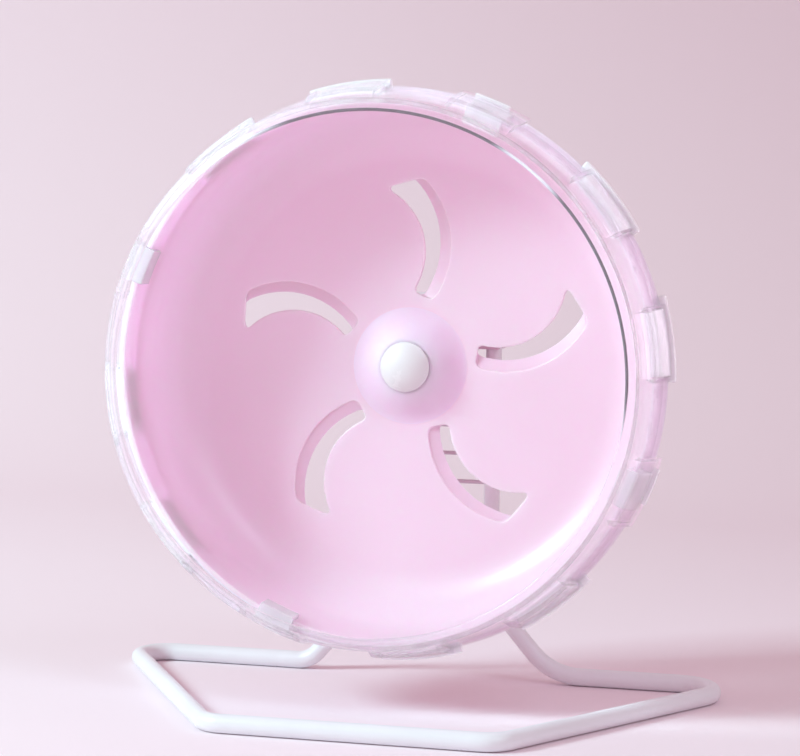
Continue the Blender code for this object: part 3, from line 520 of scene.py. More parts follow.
def bead_painted_reflection():
    """Polished edge with a painted reflection: dark where it turns away from the light, pale elsewhere as
    a painted highlight.
    """
    made = finish("polished_edge_painted_reflection", BEAD_PAINTED_PALE_REFLECTION, vary=0.02, rough=0.16, rough_vary=0.04, grain=700,
                  bump_mm=0.01, patch=200.0, Coat_Weight=0.6, Coat_Roughness=0.04)
    tree = made.node_tree
    place = node(tree, "ShaderNodeSeparateXYZ")
    tree.links.new(node(tree, "ShaderNodeTexCoord").outputs["Object"], place.inputs[0])
    turn = node(tree, "ShaderNodeMath", operation="ARCTAN2")
    tree.links.new(place.outputs["Z"], turn.inputs[0])
    tree.links.new(place.outputs["X"], turn.inputs[1])
    share = ranged(tree, turn.outputs[0], -math.pi, math.pi)
    # Painted reflection: the ramp sets dark and pale arcs round the axle
    ramp = node(tree, "ShaderNodeValToRGB")
    stops = ramp.color_ramp.elements
    ramp.color_ramp.interpolation = "EASE"
    while len(stops) < len(BEAD_PAINTED_REFLECTIONS):
        stops.new(0.5)
    for stop, (degrees, shade) in zip(stops, BEAD_PAINTED_REFLECTIONS):
        stop.position = (degrees + 180) / 360
        stop.color = (*shade, 1)
    tree.links.new(share, ramp.inputs["Fac"])
    tree.links.new(ramp.outputs["Color"], tree.nodes["Principled BSDF"].inputs["Base Color"])
    return made


def plastic_looks():
    return {
        "dish": moulded("dish_plastic", DISH_PINK, depth_mm=8.0, reach=PINK_REACH, rough=0.38,
                        Coat_Weight=0.45, Coat_Roughness=0.27),
        # Painted shade on the vents' walls
        "vent_wall": moulded("vent_wall_painted_shade", VENT_WALL_PAINTED_SHADE_PINK, depth_mm=1.5, reach=(1.0, 0.6, 0.8),
                             vary=0.02, rough=0.40, patch=40.0, weight=0.5),
        # Partly the tabs' own tone, partly painted light on the dish's pad blocks
        "tab": pale_moulded("tab_plastic_and_painted_light", TAB_OWN_AND_PAINTED_LIGHT_PINK, depth_mm=4.0, rough=0.25),
        # Painted light on the rim wall and flange
        "rim": pale_moulded("rim_painted_light", RIM_PAINTED_LIGHT_PINK, depth_mm=4.0, rough=0.28),
        # Painted light on the hub cone
        "hub": moulded("hub_painted_light", HUB_PAINTED_LIGHT_LILAC, depth_mm=6.0, reach=PINK_REACH, rough=0.46,
                       Specular_IOR_Level=0.28),
        "track": finish("clear_plastic", CLEAR_TINT, vary=0.01, rough=0.06, rough_vary=0.02,
                        grain=300, bump_mm=0.002, patch=30.0, Transmission_Weight=0.92, IOR=1.12,
                        Coat_Weight=0.55, Coat_Roughness=0.05, Alpha=0.72),
        "bead": bead_painted_reflection(),
        "clip": pale_moulded("clip_plastic", CLIP_TINT, depth_mm=3.0, rough=0.20, Alpha=0.55),
        "cap": moulded("cap_plastic", CAP_WHITE, depth_mm=1.5, reach=(1.0, 0.9, 0.9), vary=0.02,
                       rough=0.24, rough_vary=0.05, grain=1200, bump_mm=0.006, patch=60.0, weight=0.2),
        "retainer": moulded("retainer_plastic", RETAINER_PINK, depth_mm=2.0, reach=(1.0, 0.5, 0.7),
                            vary=0.04, rough_vary=0.06, grain=900, bump_mm=0.012, patch=60.0, weight=0.3),
    }


def stand_looks():
    # Rungs, bracket and clamp get a dark mauve that is painted shade
    plate = {"vary": 0.03, "rough": 0.42, "rough_vary": 0.06, "grain": 1400, "bump_mm": 0.015}
    return {
        "powder_coat": finish("powder_coat", COAT_WHITE, vary=0.03, rough=0.36, rough_vary=0.06,
                              grain=1600, bump_mm=0.018, Coat_Weight=0.15, Coat_Roughness=0.2),
        "rung_coat": finish("wire_coat_painted_shade", WIRE_PAINTED_SHADE_MAUVE, vary=0.03, rough=0.40, rough_vary=0.06,
                            grain=1600, bump_mm=0.015),
        "bracket": finish("bracket_painted_shade", PLATE_PAINTED_SHADE_MAUVE, **plate),
        "clamp": finish("clamp_painted_shade", PLATE_PAINTED_SHADE_MAUVE, **plate),
    }


def hardware_looks():
    return {
        "zinc": metal("zinc_plate", ZINC_GREY, vary=0.12, rough=0.30, rough_vary=0.10,
                      grain=700, bump_mm=0.01),
        "race": metal("race_steel", RACE_GREY, vary=0.08, rough=0.20, rough_vary=0.06,
                      grain=1500, bump_mm=0.004),
        "ball": metal("ball_steel", BALL_GREY, vary=0.05, rough=0.09, rough_vary=0.03,
                      grain=1500, bump_mm=0.002),
        "cage": finish("cage_plastic", CAGE_BLACK, vary=0.15, rough=0.50, rough_vary=0.08,
                       grain=1500, bump_mm=0.01, patch=300.0),
        "shield": metal("shield_steel", SHIELD_GREY, vary=0.08, rough=0.28, rough_vary=0.08,
                        grain=1200, bump_mm=0.005),
        "sleeve": metal("sleeve_aluminium", SLEEVE_GREY, vary=0.08, rough=0.32, rough_vary=0.08,
                        grain=900, bump_mm=0.006),
    }


def dress(made, name, body, slot, *nodes):
    """Gives a new piece its material and its body and hides the nodes that it stands for; slot is not
    used.
    """
    made.data.materials.clear()
    made.data.materials.append(looks[name])
    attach(made, body)
    if nodes:
        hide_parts(*nodes)
    return made


# Running track

def has_clip(pad):
    return pad % CLIP_EVERY == CLIP_EVERY - 1


def pad_share(degrees, edge, half):
    """1 over a pad, 0 between pads, eased over the step at either end."""
    local = degrees % PAD_PITCH
    rising = soft_step(local - edge, half) + soft_step(local - PAD_PITCH - edge, half)
    return rising - soft_step(local - (PAD_ARC - edge), half)


def pad_angles():
    """Stations round the wheel, close together at every pad's steps."""
    local = set()
    for step in range(round(PAD_PITCH / COARSE_STEP)):
        local.add(round(step * COARSE_STEP, ANGLE_DIGITS))
    for edge in (0, PAD_ARC):
        for step in range(-PAD_STEP_HALVES, PAD_STEP_HALVES + 1):
            local.add(round((edge + STEP_HALF * step / PAD_STEP_HALVES) % PAD_PITCH, ANGLE_DIGITS))
    for edge in (POCKET_EDGE, PAD_ARC - POCKET_EDGE):
        for step in range(-POCKET_STEP_HALVES, POCKET_STEP_HALVES + 1):
            local.add(round(edge + POCKET_HALF * step / POCKET_STEP_HALVES, ANGLE_DIGITS))
    local = sorted(local)
    return [PAD_PITCH * pad + angle for pad in range(PAD_COUNT) for angle in local]


def track_radius(depth, rise):
    """Outside of the clear ring behind its neck, rise being the pad's height."""
    return NECK_RADIUS + TRACK_SLOPE * (depth - NECK_DEPTH) + rise


def under_pad(depth):
    """Inside of the clear ring under a pad, less the gap to what sits there."""
    return track_radius(depth, PAD_RISE) - TRACK_WALL - SEAT_GAP


def track_section(outer, inner):
    """Clear ring's section for pad heights outside and inside."""
    ramp_end = PAD_START + PAD_RAMP
    corners = [
        (LIP_INNER + LIP_INNER_INSET, LIP_INNER_DEPTH, LIP_INNER_ROUND),
        (LIP_CREST, LIP_CREST_DEPTH, LIP_INNER_ROUND),
        (LIP_OUTER, LIP_FALL, LIP_ROUND),
        (NECK_RADIUS, NECK_DEPTH, NECK_ROUND),
        (track_radius(PAD_START, 0), PAD_START, SOFT_RAMP),
        (track_radius(ramp_end, outer), ramp_end, SOFT_RAMP),
        (track_radius(TRACK_REAR, outer), TRACK_REAR, EDGE_ROUND),
        (track_radius(TRACK_REAR, inner) - TRACK_WALL, TRACK_REAR, EDGE_ROUND),
        (track_radius(ramp_end, inner) - TRACK_WALL, ramp_end, SOFT_RAMP),
        (track_radius(PAD_START, 0) - TRACK_WALL, PAD_START, SOFT_RAMP),
        (NECK_RADIUS - TRACK_WALL, NECK_DEPTH, NECK_INNER_ROUND),
        (LIP_OUTER - TRACK_WALL, LIP_THICKNESS + LIP_BACK_DROP, LIP_BACK_ROUND),
        (LIP_INNER + LIP_BACK_INSET, LIP_THICKNESS, LIP_BACK_EDGE_ROUND),
    ]
    return rounded_corners(corners)


def make_track():
    """The clear ring. It casts no shadow, as clear plastic lets the lamps' light through."""
    mesh_data = bmesh.new()
    rings = []
    for angle in pad_angles():
        outer = PAD_RISE * pad_share(angle, 0, STEP_HALF)
        inner = PAD_RISE * pad_share(angle, POCKET_EDGE, POCKET_HALF)
        rings.append(ring_at(track_section(outer, inner), angle))
    skin(mesh_data, rings, True)
    made = to_object("clear_ring", mesh_data)
    made.visible_shadow = False
    return dress(made, "track", "wheel", "track", "running_track")


def make_painted_reflection_bead():
    """Piece on the lip's inner edge along the top and right, tapering out at both ends, laid where a dark
    reflection shows: it carries a painted reflection.
    """
    rings = []
    for step in range(BEAD_STEPS + 1):
        degrees = BEAD_FROM + (BEAD_TO - BEAD_FROM) * step / BEAD_STEPS
        fade = soft_step(degrees - BEAD_FROM - BEAD_FADE, BEAD_FADE)
        fade -= soft_step(degrees - BEAD_TO + BEAD_FADE, BEAD_FADE)
        tube = BEAD_TUBE * max(BEAD_END_SHARE, fade)
        section = []
        for corner in range(BEAD_SIDES):
            across, along = polar(tube, 360 * corner / BEAD_SIDES)
            section.append((BEAD_RADIUS + across, BEAD_DEPTH + along))
        rings.append(ring_at(section, degrees))
    mesh_data = bmesh.new()
    skin(mesh_data, rings, False)
    return dress(to_object("lip_bead_painted_reflection", mesh_data), "bead", "wheel", "track")


# Dish

def arc_through(first, middle, last, pieces):
    """Points of the circle arc from first through middle to last."""
    ax, ay = first
    bx, by = middle
    cx, cy = last
    square_a = ax * ax + ay * ay
    square_b = bx * bx + by * by
    square_c = cx * cx + cy * cy
    twice_area = 2 * (ax * (by - cy) + bx * (cy - ay) + cx * (ay - by))
    centre_x = (square_a * (by - cy) + square_b * (cy - ay) + square_c * (ay - by)) / twice_area
    centre_y = (square_a * (cx - bx) + square_b * (ax - cx) + square_c * (bx - ax)) / twice_area
    radius = math.hypot(ax - centre_x, ay - centre_y)
    start = math.atan2(ay - centre_y, ax - centre_x)
    turn = math.remainder(math.atan2(cy - centre_y, cx - centre_x) - start, math.tau)
    points = []
    for piece in range(pieces + 1):
        angle = start + turn * piece / pieces
        points.append((centre_x + radius * math.cos(angle), centre_y + radius * math.sin(angle)))
    return points


def spot_along(spots, index, way, reach):
    """The spot on a closed outline that is reach away from the one at index, looking one way."""
    here = spots[index]
    count = len(spots)
    at = index
    while (spots[at % count] - here).length < reach:
        at += way
    near = spots[(at - way) % count]
    far = spots[at % count]
    share = (reach - (near - here).length) / max((far - near).length, LEAST_LENGTH)
    return near.lerp(far, min(1.0, share))


def round_outline(outline, corners, pieces):
    """Eases the corners of a fine outline; corners gives the reach at each index."""
    spots = [Vector(place) for place in outline]
    points = []
    for index, here in enumerate(spots):
        if index in corners:
            first, last = (spot_along(spots, index, way, corners[index]) for way in (-1, 1))
            points += eased_corner(first, here, last, pieces)
        elif all((here - spots[corner]).length > corners[corner] * EASE_MARGIN for corner in corners):
            points.append(here)
    return points


def vent_outline(turn, slope_run):
    """One vent: a swept side, a hollow side and rounded ends."""
    middle = VENT_HUB_RADIUS + (VENT_RIM_RADIUS - VENT_HUB_RADIUS) * VENT_MID_SHARE
    swept = []
    for radius, angle in zip((VENT_HUB_RADIUS, middle, VENT_RIM_RADIUS), VENT_SWEPT):
        swept.append(polar(radius, turn + angle + math.degrees(slope_run / radius)))
    radii = (VENT_HUB_RADIUS + VENT_HUB_SLANT, middle, VENT_RIM_RADIUS - VENT_RIM_SLANT)
    hollow = [polar(radius, turn + angle) for radius, angle in zip(radii, VENT_HOLLOW)]
    outline = arc_through(*swept, VENT_SIDE_STEPS) + arc_through(*reversed(hollow), VENT_SIDE_STEPS)
    corners = {index: VENT_CORNER for index in (0, VENT_SIDE_STEPS, len(outline) - 1)}
    corners[VENT_SIDE_STEPS + 1] = VENT_TIP
    eased = round_outline(outline, corners, VENT_CORNER_STEPS)
    return [place + Vector((0, VENT_RAISE)) for place in eased]


def grown(outline, reach):
    """The outline moved outward by reach."""
    points = []
    count = len(outline)
    area = sum(a.x * b.y - b.x * a.y for a, b in zip(outline, outline[1:] + outline[:1]))
    side = 1 if area > 0 else -1
    for index in range(count):
        along = (outline[(index + 1) % count] - outline[index - 1]).normalized()
        points.append(outline[index] + Vector((along.y, -along.x)) * (reach * side))
    return points


def vent_cutter():
    """All vents in one solid, wider at the front, with rounded mouths on both sides."""
    mesh_data = bmesh.new()
    front = FLOOR_DEPTH
    rear = front + DISH_WALL
    steps = VENT_MOUTH_STEPS
    for number in range(VENT_COUNT):
        turn = 360 * number / VENT_COUNT
        wide = vent_outline(turn, 0)
        narrow = vent_outline(turn, VENT_SLOPE_RUN)
        stages = [(front - CUT_OVERRUN, grown(wide, VENT_MOUTH_ROUND))]
        for step in range(steps + 1):
            angle = math.pi / 2 * step / steps
            reach = VENT_MOUTH_ROUND * (1 - math.sin(angle))
            depth = front + VENT_MOUTH_ROUND * (1 - math.cos(angle))
            stages.append((depth, grown(wide, reach)))
        for step in range(steps):
            angle = math.pi / 2 * step / (steps - 1)
            reach = VENT_BACK_ROUND * (1 - math.cos(angle))
            depth = rear - VENT_BACK_ROUND * (1 - math.sin(angle))
            stages.append((depth, grown(narrow, reach)))
        stages.append((rear + CUT_OVERRUN, grown(narrow, VENT_BACK_ROUND)))
        skin(mesh_data, [[(p.x, depth, p.y) for p in outline] for depth, outline in stages], False)
    return to_object("vent_cutter", mesh_data)


def arc_points(radius, depth, reach, start, end, pieces):
    """Arc about (radius, depth), angles from +radius towards +depth."""
    points = []
    for step in range(pieces + 1):
        across, along = polar(reach, start + (end - start) * step / pieces)
        points.append((radius + across, depth + along, 0))
    return points


def cone_points():
    """Hub cone from the hub face to its foot."""
    points = []
    for step in range(1, CONE_STEPS):
        share = 1 - step / CONE_STEPS
        blend = share * share * (3 - 2 * share)
        radius = CONE_RADIUS + (HUB_FACE_RADIUS - CONE_RADIUS) * share
        points.append((radius, FLOOR_DEPTH - (FLOOR_DEPTH - HUB_FACE_DEPTH) * (blend + share) / 2, 0))
    return points


def dish_section():
    """The bowl's section, from the rim round the back to the hub and the floor."""
    back = FLOOR_DEPTH + DISH_WALL
    start = FLOOR_DEPTH - FILLET
    outer = RIM_RADIUS + DISH_WALL
    flange_end = FLANGE_DEPTH + FLANGE_THICKNESS
    corners = [
        (RIM_RADIUS, RIM_DEPTH, RIM_ROUND),
        (outer, RIM_DEPTH, RIM_ROUND),
        (outer, FLANGE_DEPTH, FLANGE_ROOT_ROUND),
        (FLANGE_RADIUS, FLANGE_DEPTH, FLANGE_ROUND),
        (FLANGE_RADIUS, flange_end, FLANGE_ROUND),
        (outer, flange_end, FLANGE_BACK_ROUND),
    ]
    corners += arc_points(FLAT_RADIUS, start, FILLET + DISH_WALL, 0, 90, OUTER_FILLET_STEPS)
    corners += [
        (BOSS_RADIUS, back, BOSS_ROOT_ROUND),
        (BOSS_RADIUS, BOSS_REAR, BOSS_ROUND),
        (SEAT_RADIUS, BOSS_REAR, SEAT_ROUND),
        (SEAT_RADIUS, FLOOR_DEPTH, 0),
        (NUT_CAVITY, FLOOR_DEPTH, 0),
        (NUT_CAVITY, HUB_FACE_DEPTH, NUT_CAVITY_ROUND),
        (HUB_FACE_RADIUS, HUB_FACE_DEPTH, HUB_FACE_ROUND),
    ]
    corners += cone_points()
    corners.append((CONE_RADIUS, FLOOR_DEPTH, CONE_FOOT_ROUND))
    for share in FLOOR_RING_SHARES:
        corners.append((CONE_RADIUS + (FLAT_RADIUS - CONE_RADIUS) * share, FLOOR_DEPTH, 0))
    corners += arc_points(FLAT_RADIUS, start, FILLET, 90, 0, INNER_FILLET_STEPS)
    return rounded_corners(corners)


def paint_dish(made):
    """Paints the vents' walls deeper pink as painted shade, the rim with its flange paler as painted
    light, and the hub paler as painted light.
    """
    tones = ("vent_wall", "rim", "hub")
    for tone in tones:
        made.data.materials.append(looks[tone])
    for face in made.data.polygons:
        depth = face.center.y
        out = math.hypot(face.center.x, face.center.z)
        wall_start = FLOOR_DEPTH + VENT_MOUTH_ROUND * VENT_WALL_START_SHARE
        inside = wall_start < depth < FLOOR_DEPTH + DISH_WALL - FACE_MARGIN
        if inside and CONE_RADIUS < out < FLAT_RADIUS - VENT_WALL_BORDER:
            # Painted shade on the vents' cut walls
            face.material_index = 1 + tones.index("vent_wall")
        elif out > RIM_RADIUS + DISH_WALL / 2 and depth < FLANGE_DEPTH + FLANGE_THICKNESS / 2:
            # Painted light on the rim's outer wall and the flange's front
            face.material_index = 1 + tones.index("rim")
        elif out < CONE_RADIUS and depth < FLOOR_DEPTH + FACE_MARGIN:
            # Painted light on the hub cone
            face.material_index = 1 + tones.index("hub")


def make_dish():
    mesh_data = bmesh.new()
    section = dish_section()
    skin(mesh_data, [ring_at(section, 360 * step / DISH_STEPS) for step in range(DISH_STEPS)], True)
    made = to_object("pink_dish", mesh_data)
    cut(made, vent_cutter())
    smoothed(made, DISH_SHARP)
    dress(made, "dish", "wheel", "dish", "dish")
    paint_dish(made)
    return made


def make_wedges():
    """Blocks of the dish that fill the pockets under the clear pads, in the tabs' paler tone, which on
    them is painted light.
    """
    mesh_data = bmesh.new()
    root = RIM_RADIUS + DISH_WALL / 2
    start = RIM_DEPTH + DISH_WALL
    end = FLANGE_DEPTH + BLOCK_SINK
    section = [(root, start), (under_pad(start), start), (under_pad(TRACK_REAR), TRACK_REAR)]
    section += [(under_pad(TRACK_REAR), end), (root, end)]
    room = POCKET_EDGE + math.degrees(SEAT_GAP / TRACK_REAR_RADIUS)
    for pad in range(PAD_COUNT):
        if not has_clip(pad):
            here = PAD_PITCH * pad
            arc_blocks(mesh_data, section, here + room, here + PAD_ARC - room, TAB_STEPS)
    made = bevelled(to_object("pad_blocks", mesh_data), BLOCK_BEVEL)
    return dress(made, "tab", "wheel", "dish")


def make_tabs():
    """Tabs on the rear flange that close the castellations: long ones, and short ones at the clips."""
    mesh_data = bmesh.new()
    root = FLANGE_RADIUS - TAB_ROOT
    front = FLANGE_DEPTH - TAB_SINK
    rear = FLANGE_DEPTH + TAB_THICKNESS
    section = [(root, front), (TAB_RADIUS, front), (TAB_RADIUS, rear), (root, rear)]
    for pad in range(PAD_COUNT):
        first, last = SHORT_TAB if has_clip(pad) else LONG_TAB
        here = PAD_PITCH * pad
        arc_blocks(mesh_data, section, here + first, here + last, TAB_STEPS)
    made = bevelled(to_object("rim_tabs", mesh_data), TAB_BEVEL)
    return dress(made, "tab", "wheel", "dish")


# Clips and cap

def make_clips():
    """Snap clips at every third pad, each astride the dish's rim."""
    inner = RIM_RADIUS - SEAT_GAP
    outer = RIM_RADIUS + DISH_WALL + SEAT_GAP
    web_end = RIM_DEPTH - SEAT_GAP
    web_start = web_end - CLIP_WEB
    section = [(inner - CLIP_LEG, web_start), (under_pad(web_start), web_start)]
    section += [(under_pad(TRACK_REAR), TRACK_REAR), (outer, TRACK_REAR), (outer, web_end)]
    section += [(inner, web_end), (inner, web_end + CLIP_REACH), (inner - CLIP_LEG, web_end + CLIP_REACH)]
    clips = []
    for number, pad in enumerate(filter(has_clip, range(PAD_COUNT)), start=1):
        middle = PAD_PITCH * pad + PAD_ARC / 2
        mesh_data = bmesh.new()
        arc_blocks(mesh_data, section, middle - CLIP_ARC / 2, middle + CLIP_ARC / 2, CLIP_STEPS)
        made = bevelled(to_object("snap_clip_%d" % number, mesh_data), CLIP_BEVEL)
        clips.append(dress(made, "clip", "wheel", "clip", "rim_clip_%d" % number))
    return clips


def make_cap():
    """Domed cap with a skirt that goes into the nut's cavity."""
    dome = CAP_DOME - CAP_EDGE
    sphere = (CAP_RADIUS ** 2 + dome ** 2) / (2 * dome)
    widest = math.asin((CAP_RADIUS - CAP_BROW_INSET) / sphere)
    corners = []
    for step in range(DOME_STEPS + 1):
        angle = widest * step / DOME_STEPS
        corners.append((sphere * math.sin(angle), sphere * (1 - math.cos(angle)), 0))
    skirt = NUT_CAVITY - SEAT_GAP
    end = CAP_DOME + CAP_SKIRT
    corners.append((CAP_RADIUS, dome + CAP_BROW_DROP, CAP_BROW_ROUND))
    corners.append((CAP_RADIUS, CAP_DOME, CAP_FOOT_ROUND))
    corners += [(skirt, CAP_DOME, 0), (skirt, end, CAP_SKIRT_ROUND), (0, end, 0)]
    mesh_data = bmesh.new()
    spin(mesh_data, rounded_corners(corners), SPIN_STEPS)
    place = AXLE + Vector((0, HUB_FACE_DEPTH - SEAT_GAP - CAP_DOME, 0))
    made = smoothed(to_object("white_cap", mesh_data, place), CAP_SHARP)
    return dress(made, "cap", "wheel", "cap", "hub_cap")


# Stand

def bent_path(corners, step_angle):
    """Closed path through (corner, bend radius) pairs, with an arc at each corner."""
    points = []
    count = len(corners)
    for index, (corner, radius) in enumerate(corners):
        before = (corners[index - 1][0] - corner).normalized()
        after = (corners[(index + 1) % count][0] - corner).normalized()
        between = before.angle(after)
        turn = math.pi - between
        tangent = radius / math.tan(between / 2)
        centre = corner + (before + after).normalized() * (radius / math.sin(between / 2))
        pieces = max(LEAST_BEND_STEPS, round(math.degrees(turn) / step_angle))
        start = corner + before * tangent - centre
        for piece in range(pieces + 1):
            angle = turn * piece / pieces
            points.append(centre + start * math.cos(angle) - before * (radius * math.sin(angle)))
    return points


def sweep(mesh_data, points, radii, sides):
    """Round rod along a closed path, with a radius for each of its points."""
    count = len(points)
    normal = Vector((0, 0, 1))
    rings = []
    for index, point in enumerate(points):
        ahead = (points[(index + 1) % count] - point).normalized()
        behind = (point - points[index - 1]).normalized()
        along = (ahead + behind).normalized()
        normal = (normal - along * normal.dot(along)).normalized()
        side = along.cross(normal)
        ring = []
        for corner in range(sides):
            angle = math.tau * corner / sides
            ring.append(point + (normal * math.cos(angle) + side * math.sin(angle)) * radii[index])
        rings.append(ring)
    skin(mesh_data, rings, True)


def make_stand():
    """One bent rod, thicker in the floor loop than at the uprights between the plates."""
    front = LIP_Y + NEAR_BAR_DEPTH
    rear = LIP_Y + UPRIGHT_DEPTH
    sides = []
    for side, way in ((0, -1), (1, 1)):
        sides.append([
            (Vector((NEAR_CORNERS[side], front, ROD_RADIUS)), BASE_BEND),
            (Vector((REAR_CORNERS[side], rear, ROD_RADIUS)), REAR_BENDS[side]),
            (Vector((FEET[side], rear, ROD_RADIUS)), FOOT_BENDS[side]),
            (Vector((UPRIGHT * way, rear, KNEE_Z)), KNEE_BEND),
            (Vector((UPRIGHT * way, rear, TOP_Z)), TOP_BEND),
        ])
    left, right = sides
    left.reverse()
    path = bent_path(right + left, BEND_STEP)
    drawn = [min(1.0, (point.z - ROD_RADIUS) / (KNEE_Z - ROD_RADIUS)) for point in path]
    radii = [ROD_RADIUS + (UPRIGHT_RADIUS - ROD_RADIUS) * share for share in drawn]
    mesh_data = bmesh.new()
    sweep(mesh_data, path, radii, ROD_SIDES)
    made = to_object("bent_rod", mesh_data, ORIGIN)
    return dress(made, "powder_coat", "stand", "powder_coat", "stand_frame")


def carry_over():
    """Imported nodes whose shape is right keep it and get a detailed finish."""
    for part in frame["record"]["subparts"]:
        holder = frame["nodes"].get(part["node"])
        if holder is None or part["material_slot"] not in looks:
            continue
        for slot in holder.material_slots:
            slot.material = looks[part["material_slot"]]


# Backdrop, in metres

BACKDROP_DEPTH = 1.10
BACKDROP_BEND = 0.55
BACKDROP_HALF = 3.0
BACKDROP_HEIGHT = 2.6
FLOOR_FRONT = -2.5
PAPER_NEAR = (0.99, 0.86, 0.92)
# Painted shade at the paper's far end, towards the right, the back and the top
PAPER_PAINTED_SHADE = (0.77, 0.585, 0.645)
PAPER_WAY = Vector((0.667, 0.433, 1.185))
PAPER_FROM = -0.12
PAPER_TO = 0.88


def paper_with_painted_shade():
    """Matt paper with painted shade: darker towards the right, the back and the top."""
    made = finish("backdrop_paper_painted_shade", PAPER_NEAR, vary=0.01, rough=0.75, rough_vary=0.05, grain=400,
                  bump_mm=0.02, patch=3.0, Specular_IOR_Level=0.2)
    tree = made.node_tree
    along = node(tree, "ShaderNodeVectorMath", operation="DOT_PRODUCT")
    tree.links.new(node(tree, "ShaderNodeTexCoord").outputs["Object"], along.inputs[0])
    along.inputs[1].default_value = PAPER_WAY
    share = ranged(tree, along.outputs["Value"], PAPER_FROM, PAPER_TO)
    shade = tinted(tree, share, PAPER_NEAR, PAPER_PAINTED_SHADE)
    tree.links.new(shade, tree.nodes["Principled BSDF"].inputs["Base Color"])
    return made


def make_backdrop():
    """Floor and wall in one sheet, with a round bend between them."""
    mesh_data = bmesh.new()
    profile = [(FLOOR_FRONT, 0)]
    for step in range(BACKDROP_STEPS + 1):
        angle = math.pi / 2 * step / BACKDROP_STEPS
        profile.append((BACKDROP_DEPTH - BACKDROP_BEND + BACKDROP_BEND * math.sin(angle),
                        BACKDROP_BEND * (1 - math.cos(angle))))
    profile.append((BACKDROP_DEPTH, BACKDROP_HEIGHT))
    left, right = [], []
    for depth, up in profile:
        left.append(mesh_data.verts.new((-BACKDROP_HALF, depth, up)))
    for depth, up in profile:
        right.append(mesh_data.verts.new((BACKDROP_HALF, depth, up)))
    for index in range(len(profile) - 1):
        mesh_data.faces.new((left[index], right[index], right[index + 1], left[index + 1]))
    made = to_object("backdrop", mesh_data, ORIGIN)
    made.data.materials.append(paper_with_painted_shade())
    return made


# Lights: ways from the wheel's middle, distances and sizes in metres, powers in watts

KEY_WAY = Vector((-0.68, -0.48, 0.50))
KEY_DISTANCE = 2.0
KEY_SIZE = (0.55, 0.55)
KEY_POWER = 31.0
KEY_COLOUR = (0.65, 1.0, 1.0)
STRIP_WAY = Vector((0.60, -0.43, 0.67))
STRIP_DISTANCE = 1.6
STRIP_SIZE = (0.5, 0.9)
STRIP_POWER = 4.0
STRIP_COLOUR = (0.60, 0.88, 1.0)
RIM_WAY = Vector((1.0, 0.62, 0.30))
RIM_DISTANCE = 1.25
RIM_SIZE = (0.5, 0.8)
RIM_POWER = 5.0
RIM_COLOUR = (0.90, 0.86, 0.95)
SKY_WAY = Vector((-0.60, -0.35, 0.72))
SKY_BRIGHT = (0.84, 0.62, 0.625)
SKY_DARK = (0.10, 0.07, 0.075)
SKY_FROM = -0.5
SKY_TO = 0.7
SIDE_WAY = Vector((1.0, 0.0, 0.22))
SIDE_COLOUR = (0.80, 0.60, 0.65)
SIDE_FROM = 0.55
SIDE_TO = 0.95
SKY_STRENGTH = 0.66


def area_light(name, way, distance, size, power, colour):
    """Rectangular lamp that looks at the wheel's middle from a way and a distance."""
    lamp = bpy.data.lights.new(name, "AREA")
    lamp.shape = "RECTANGLE"
    lamp.size, lamp.size_y = size
    lamp.energy = power
    lamp.color = colour
    made = bpy.data.objects.new(name, lamp)
    bpy.context.collection.objects.link(made)
    target = Vector((0, 0, AXLE_Z))
    made.location = target + way.normalized() * distance
    made.rotation_euler = (target - made.location).to_track_quat("-Z", "Y").to_euler()
    return made


def sky_lobe(tree, towards, start, end):
    """0 to 1 for world directions that near the given one."""
    facing = node(tree, "ShaderNodeVectorMath", operation="DOT_PRODUCT")
    tree.links.new(node(tree, "ShaderNodeTexCoord").outputs["Generated"], facing.inputs[0])
    facing.inputs[1].default_value = towards.normalized()
    return ranged(tree, facing.outputs["Value"], start, end, interpolation_type="SMOOTHSTEP")


def make_room_light():
    """A soft room, brighter towards the key's side and low at the right."""
    world = bpy.data.worlds.new("soft_room")
    bpy.context.scene.world = world
    world.use_nodes = True
    tree = world.node_tree
    sky = tree.nodes["Background"]
    room = tinted(tree, sky_lobe(tree, SKY_WAY, SKY_FROM, SKY_TO), SKY_DARK, SKY_BRIGHT)
    added = node(tree, "ShaderNodeMix", data_type="RGBA", blend_type="ADD")
    tree.links.new(sky_lobe(tree, SIDE_WAY, SIDE_FROM, SIDE_TO), added.inputs["Factor"])
    tree.links.new(room, added.inputs[MIX_A])
    added.inputs[MIX_B].default_value = (*SIDE_COLOUR, 1)
    tree.links.new(added.outputs[MIX_RESULT], sky.inputs["Color"])
    sky.inputs["Strength"].default_value = SKY_STRENGTH


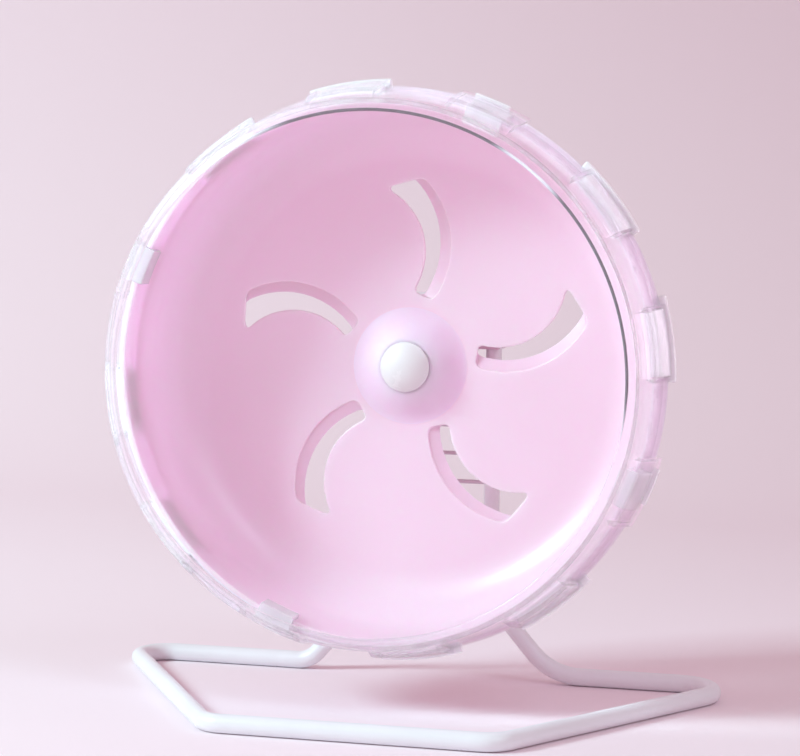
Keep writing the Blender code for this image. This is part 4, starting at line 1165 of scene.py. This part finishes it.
def make_lamps(wheel_pieces):
    """A key lamp at the left, a weak one at the right and a rear one for the wheel alone."""
    area_light("key", KEY_WAY, KEY_DISTANCE, KEY_SIZE, KEY_POWER, KEY_COLOUR)
    rim = area_light("rim", RIM_WAY, RIM_DISTANCE, RIM_SIZE, RIM_POWER, RIM_COLOUR)
    lit = bpy.data.collections.new("rim_lit")
    for piece in wheel_pieces:
        lit.objects.link(piece)
    rim.light_linking.receiver_collection = lit
    area_light("strip", STRIP_WAY, STRIP_DISTANCE, STRIP_SIZE, STRIP_POWER, STRIP_COLOUR)


# Camera: angles in degrees, distances in metres, lens and sensor in millimetres

CAMERA_AZIMUTH = 14.8
CAMERA_ELEVATION = 4.06
CAMERA_ROLL = 0.75
CAMERA_DISTANCE = 0.8355
CAMERA_ACROSS = -0.0131
CAMERA_UP = 0.0003
CAMERA_LENS = 108.0
CAMERA_SENSOR = 36.0
CAMERA_CLIP = 0.01


def make_camera():
    """Camera that was fitted to the photograph, aimed past the axle at the lip's front."""
    turn, lift, roll = (math.radians(v) for v in (CAMERA_AZIMUTH, CAMERA_ELEVATION, CAMERA_ROLL))
    ahead = Vector((-math.sin(turn) * math.cos(lift), math.cos(turn) * math.cos(lift), -math.sin(lift)))
    right = Vector((math.cos(turn), math.sin(turn), 0))
    up = right.cross(ahead)
    across = right * math.cos(roll) + up * math.sin(roll)
    above = up * math.cos(roll) - right * math.sin(roll)
    place = AXLE - ahead * CAMERA_DISTANCE - across * CAMERA_ACROSS - above * CAMERA_UP
    lens = bpy.data.cameras.new("camera")
    lens.lens = CAMERA_LENS
    lens.sensor_width = CAMERA_SENSOR
    lens.sensor_fit = "HORIZONTAL"
    lens.clip_start = CAMERA_CLIP
    made = bpy.data.objects.new("camera", lens)
    bpy.context.collection.objects.link(made)
    turned = Matrix((across, above, -ahead)).transposed().to_4x4()
    made.matrix_world = Matrix.Translation(place) @ turned
    bpy.context.scene.camera = made


looks = {**plastic_looks(), **stand_looks(), **hardware_looks()}
wheel = [make_track(), make_painted_reflection_bead(), make_dish(), make_wedges(), make_tabs(), *make_clips()]
make_cap()
make_stand()
carry_over()
make_backdrop()
make_room_light()
make_lamps(wheel)
make_camera()
bpy.context.scene.view_settings.view_transform = "Standard"
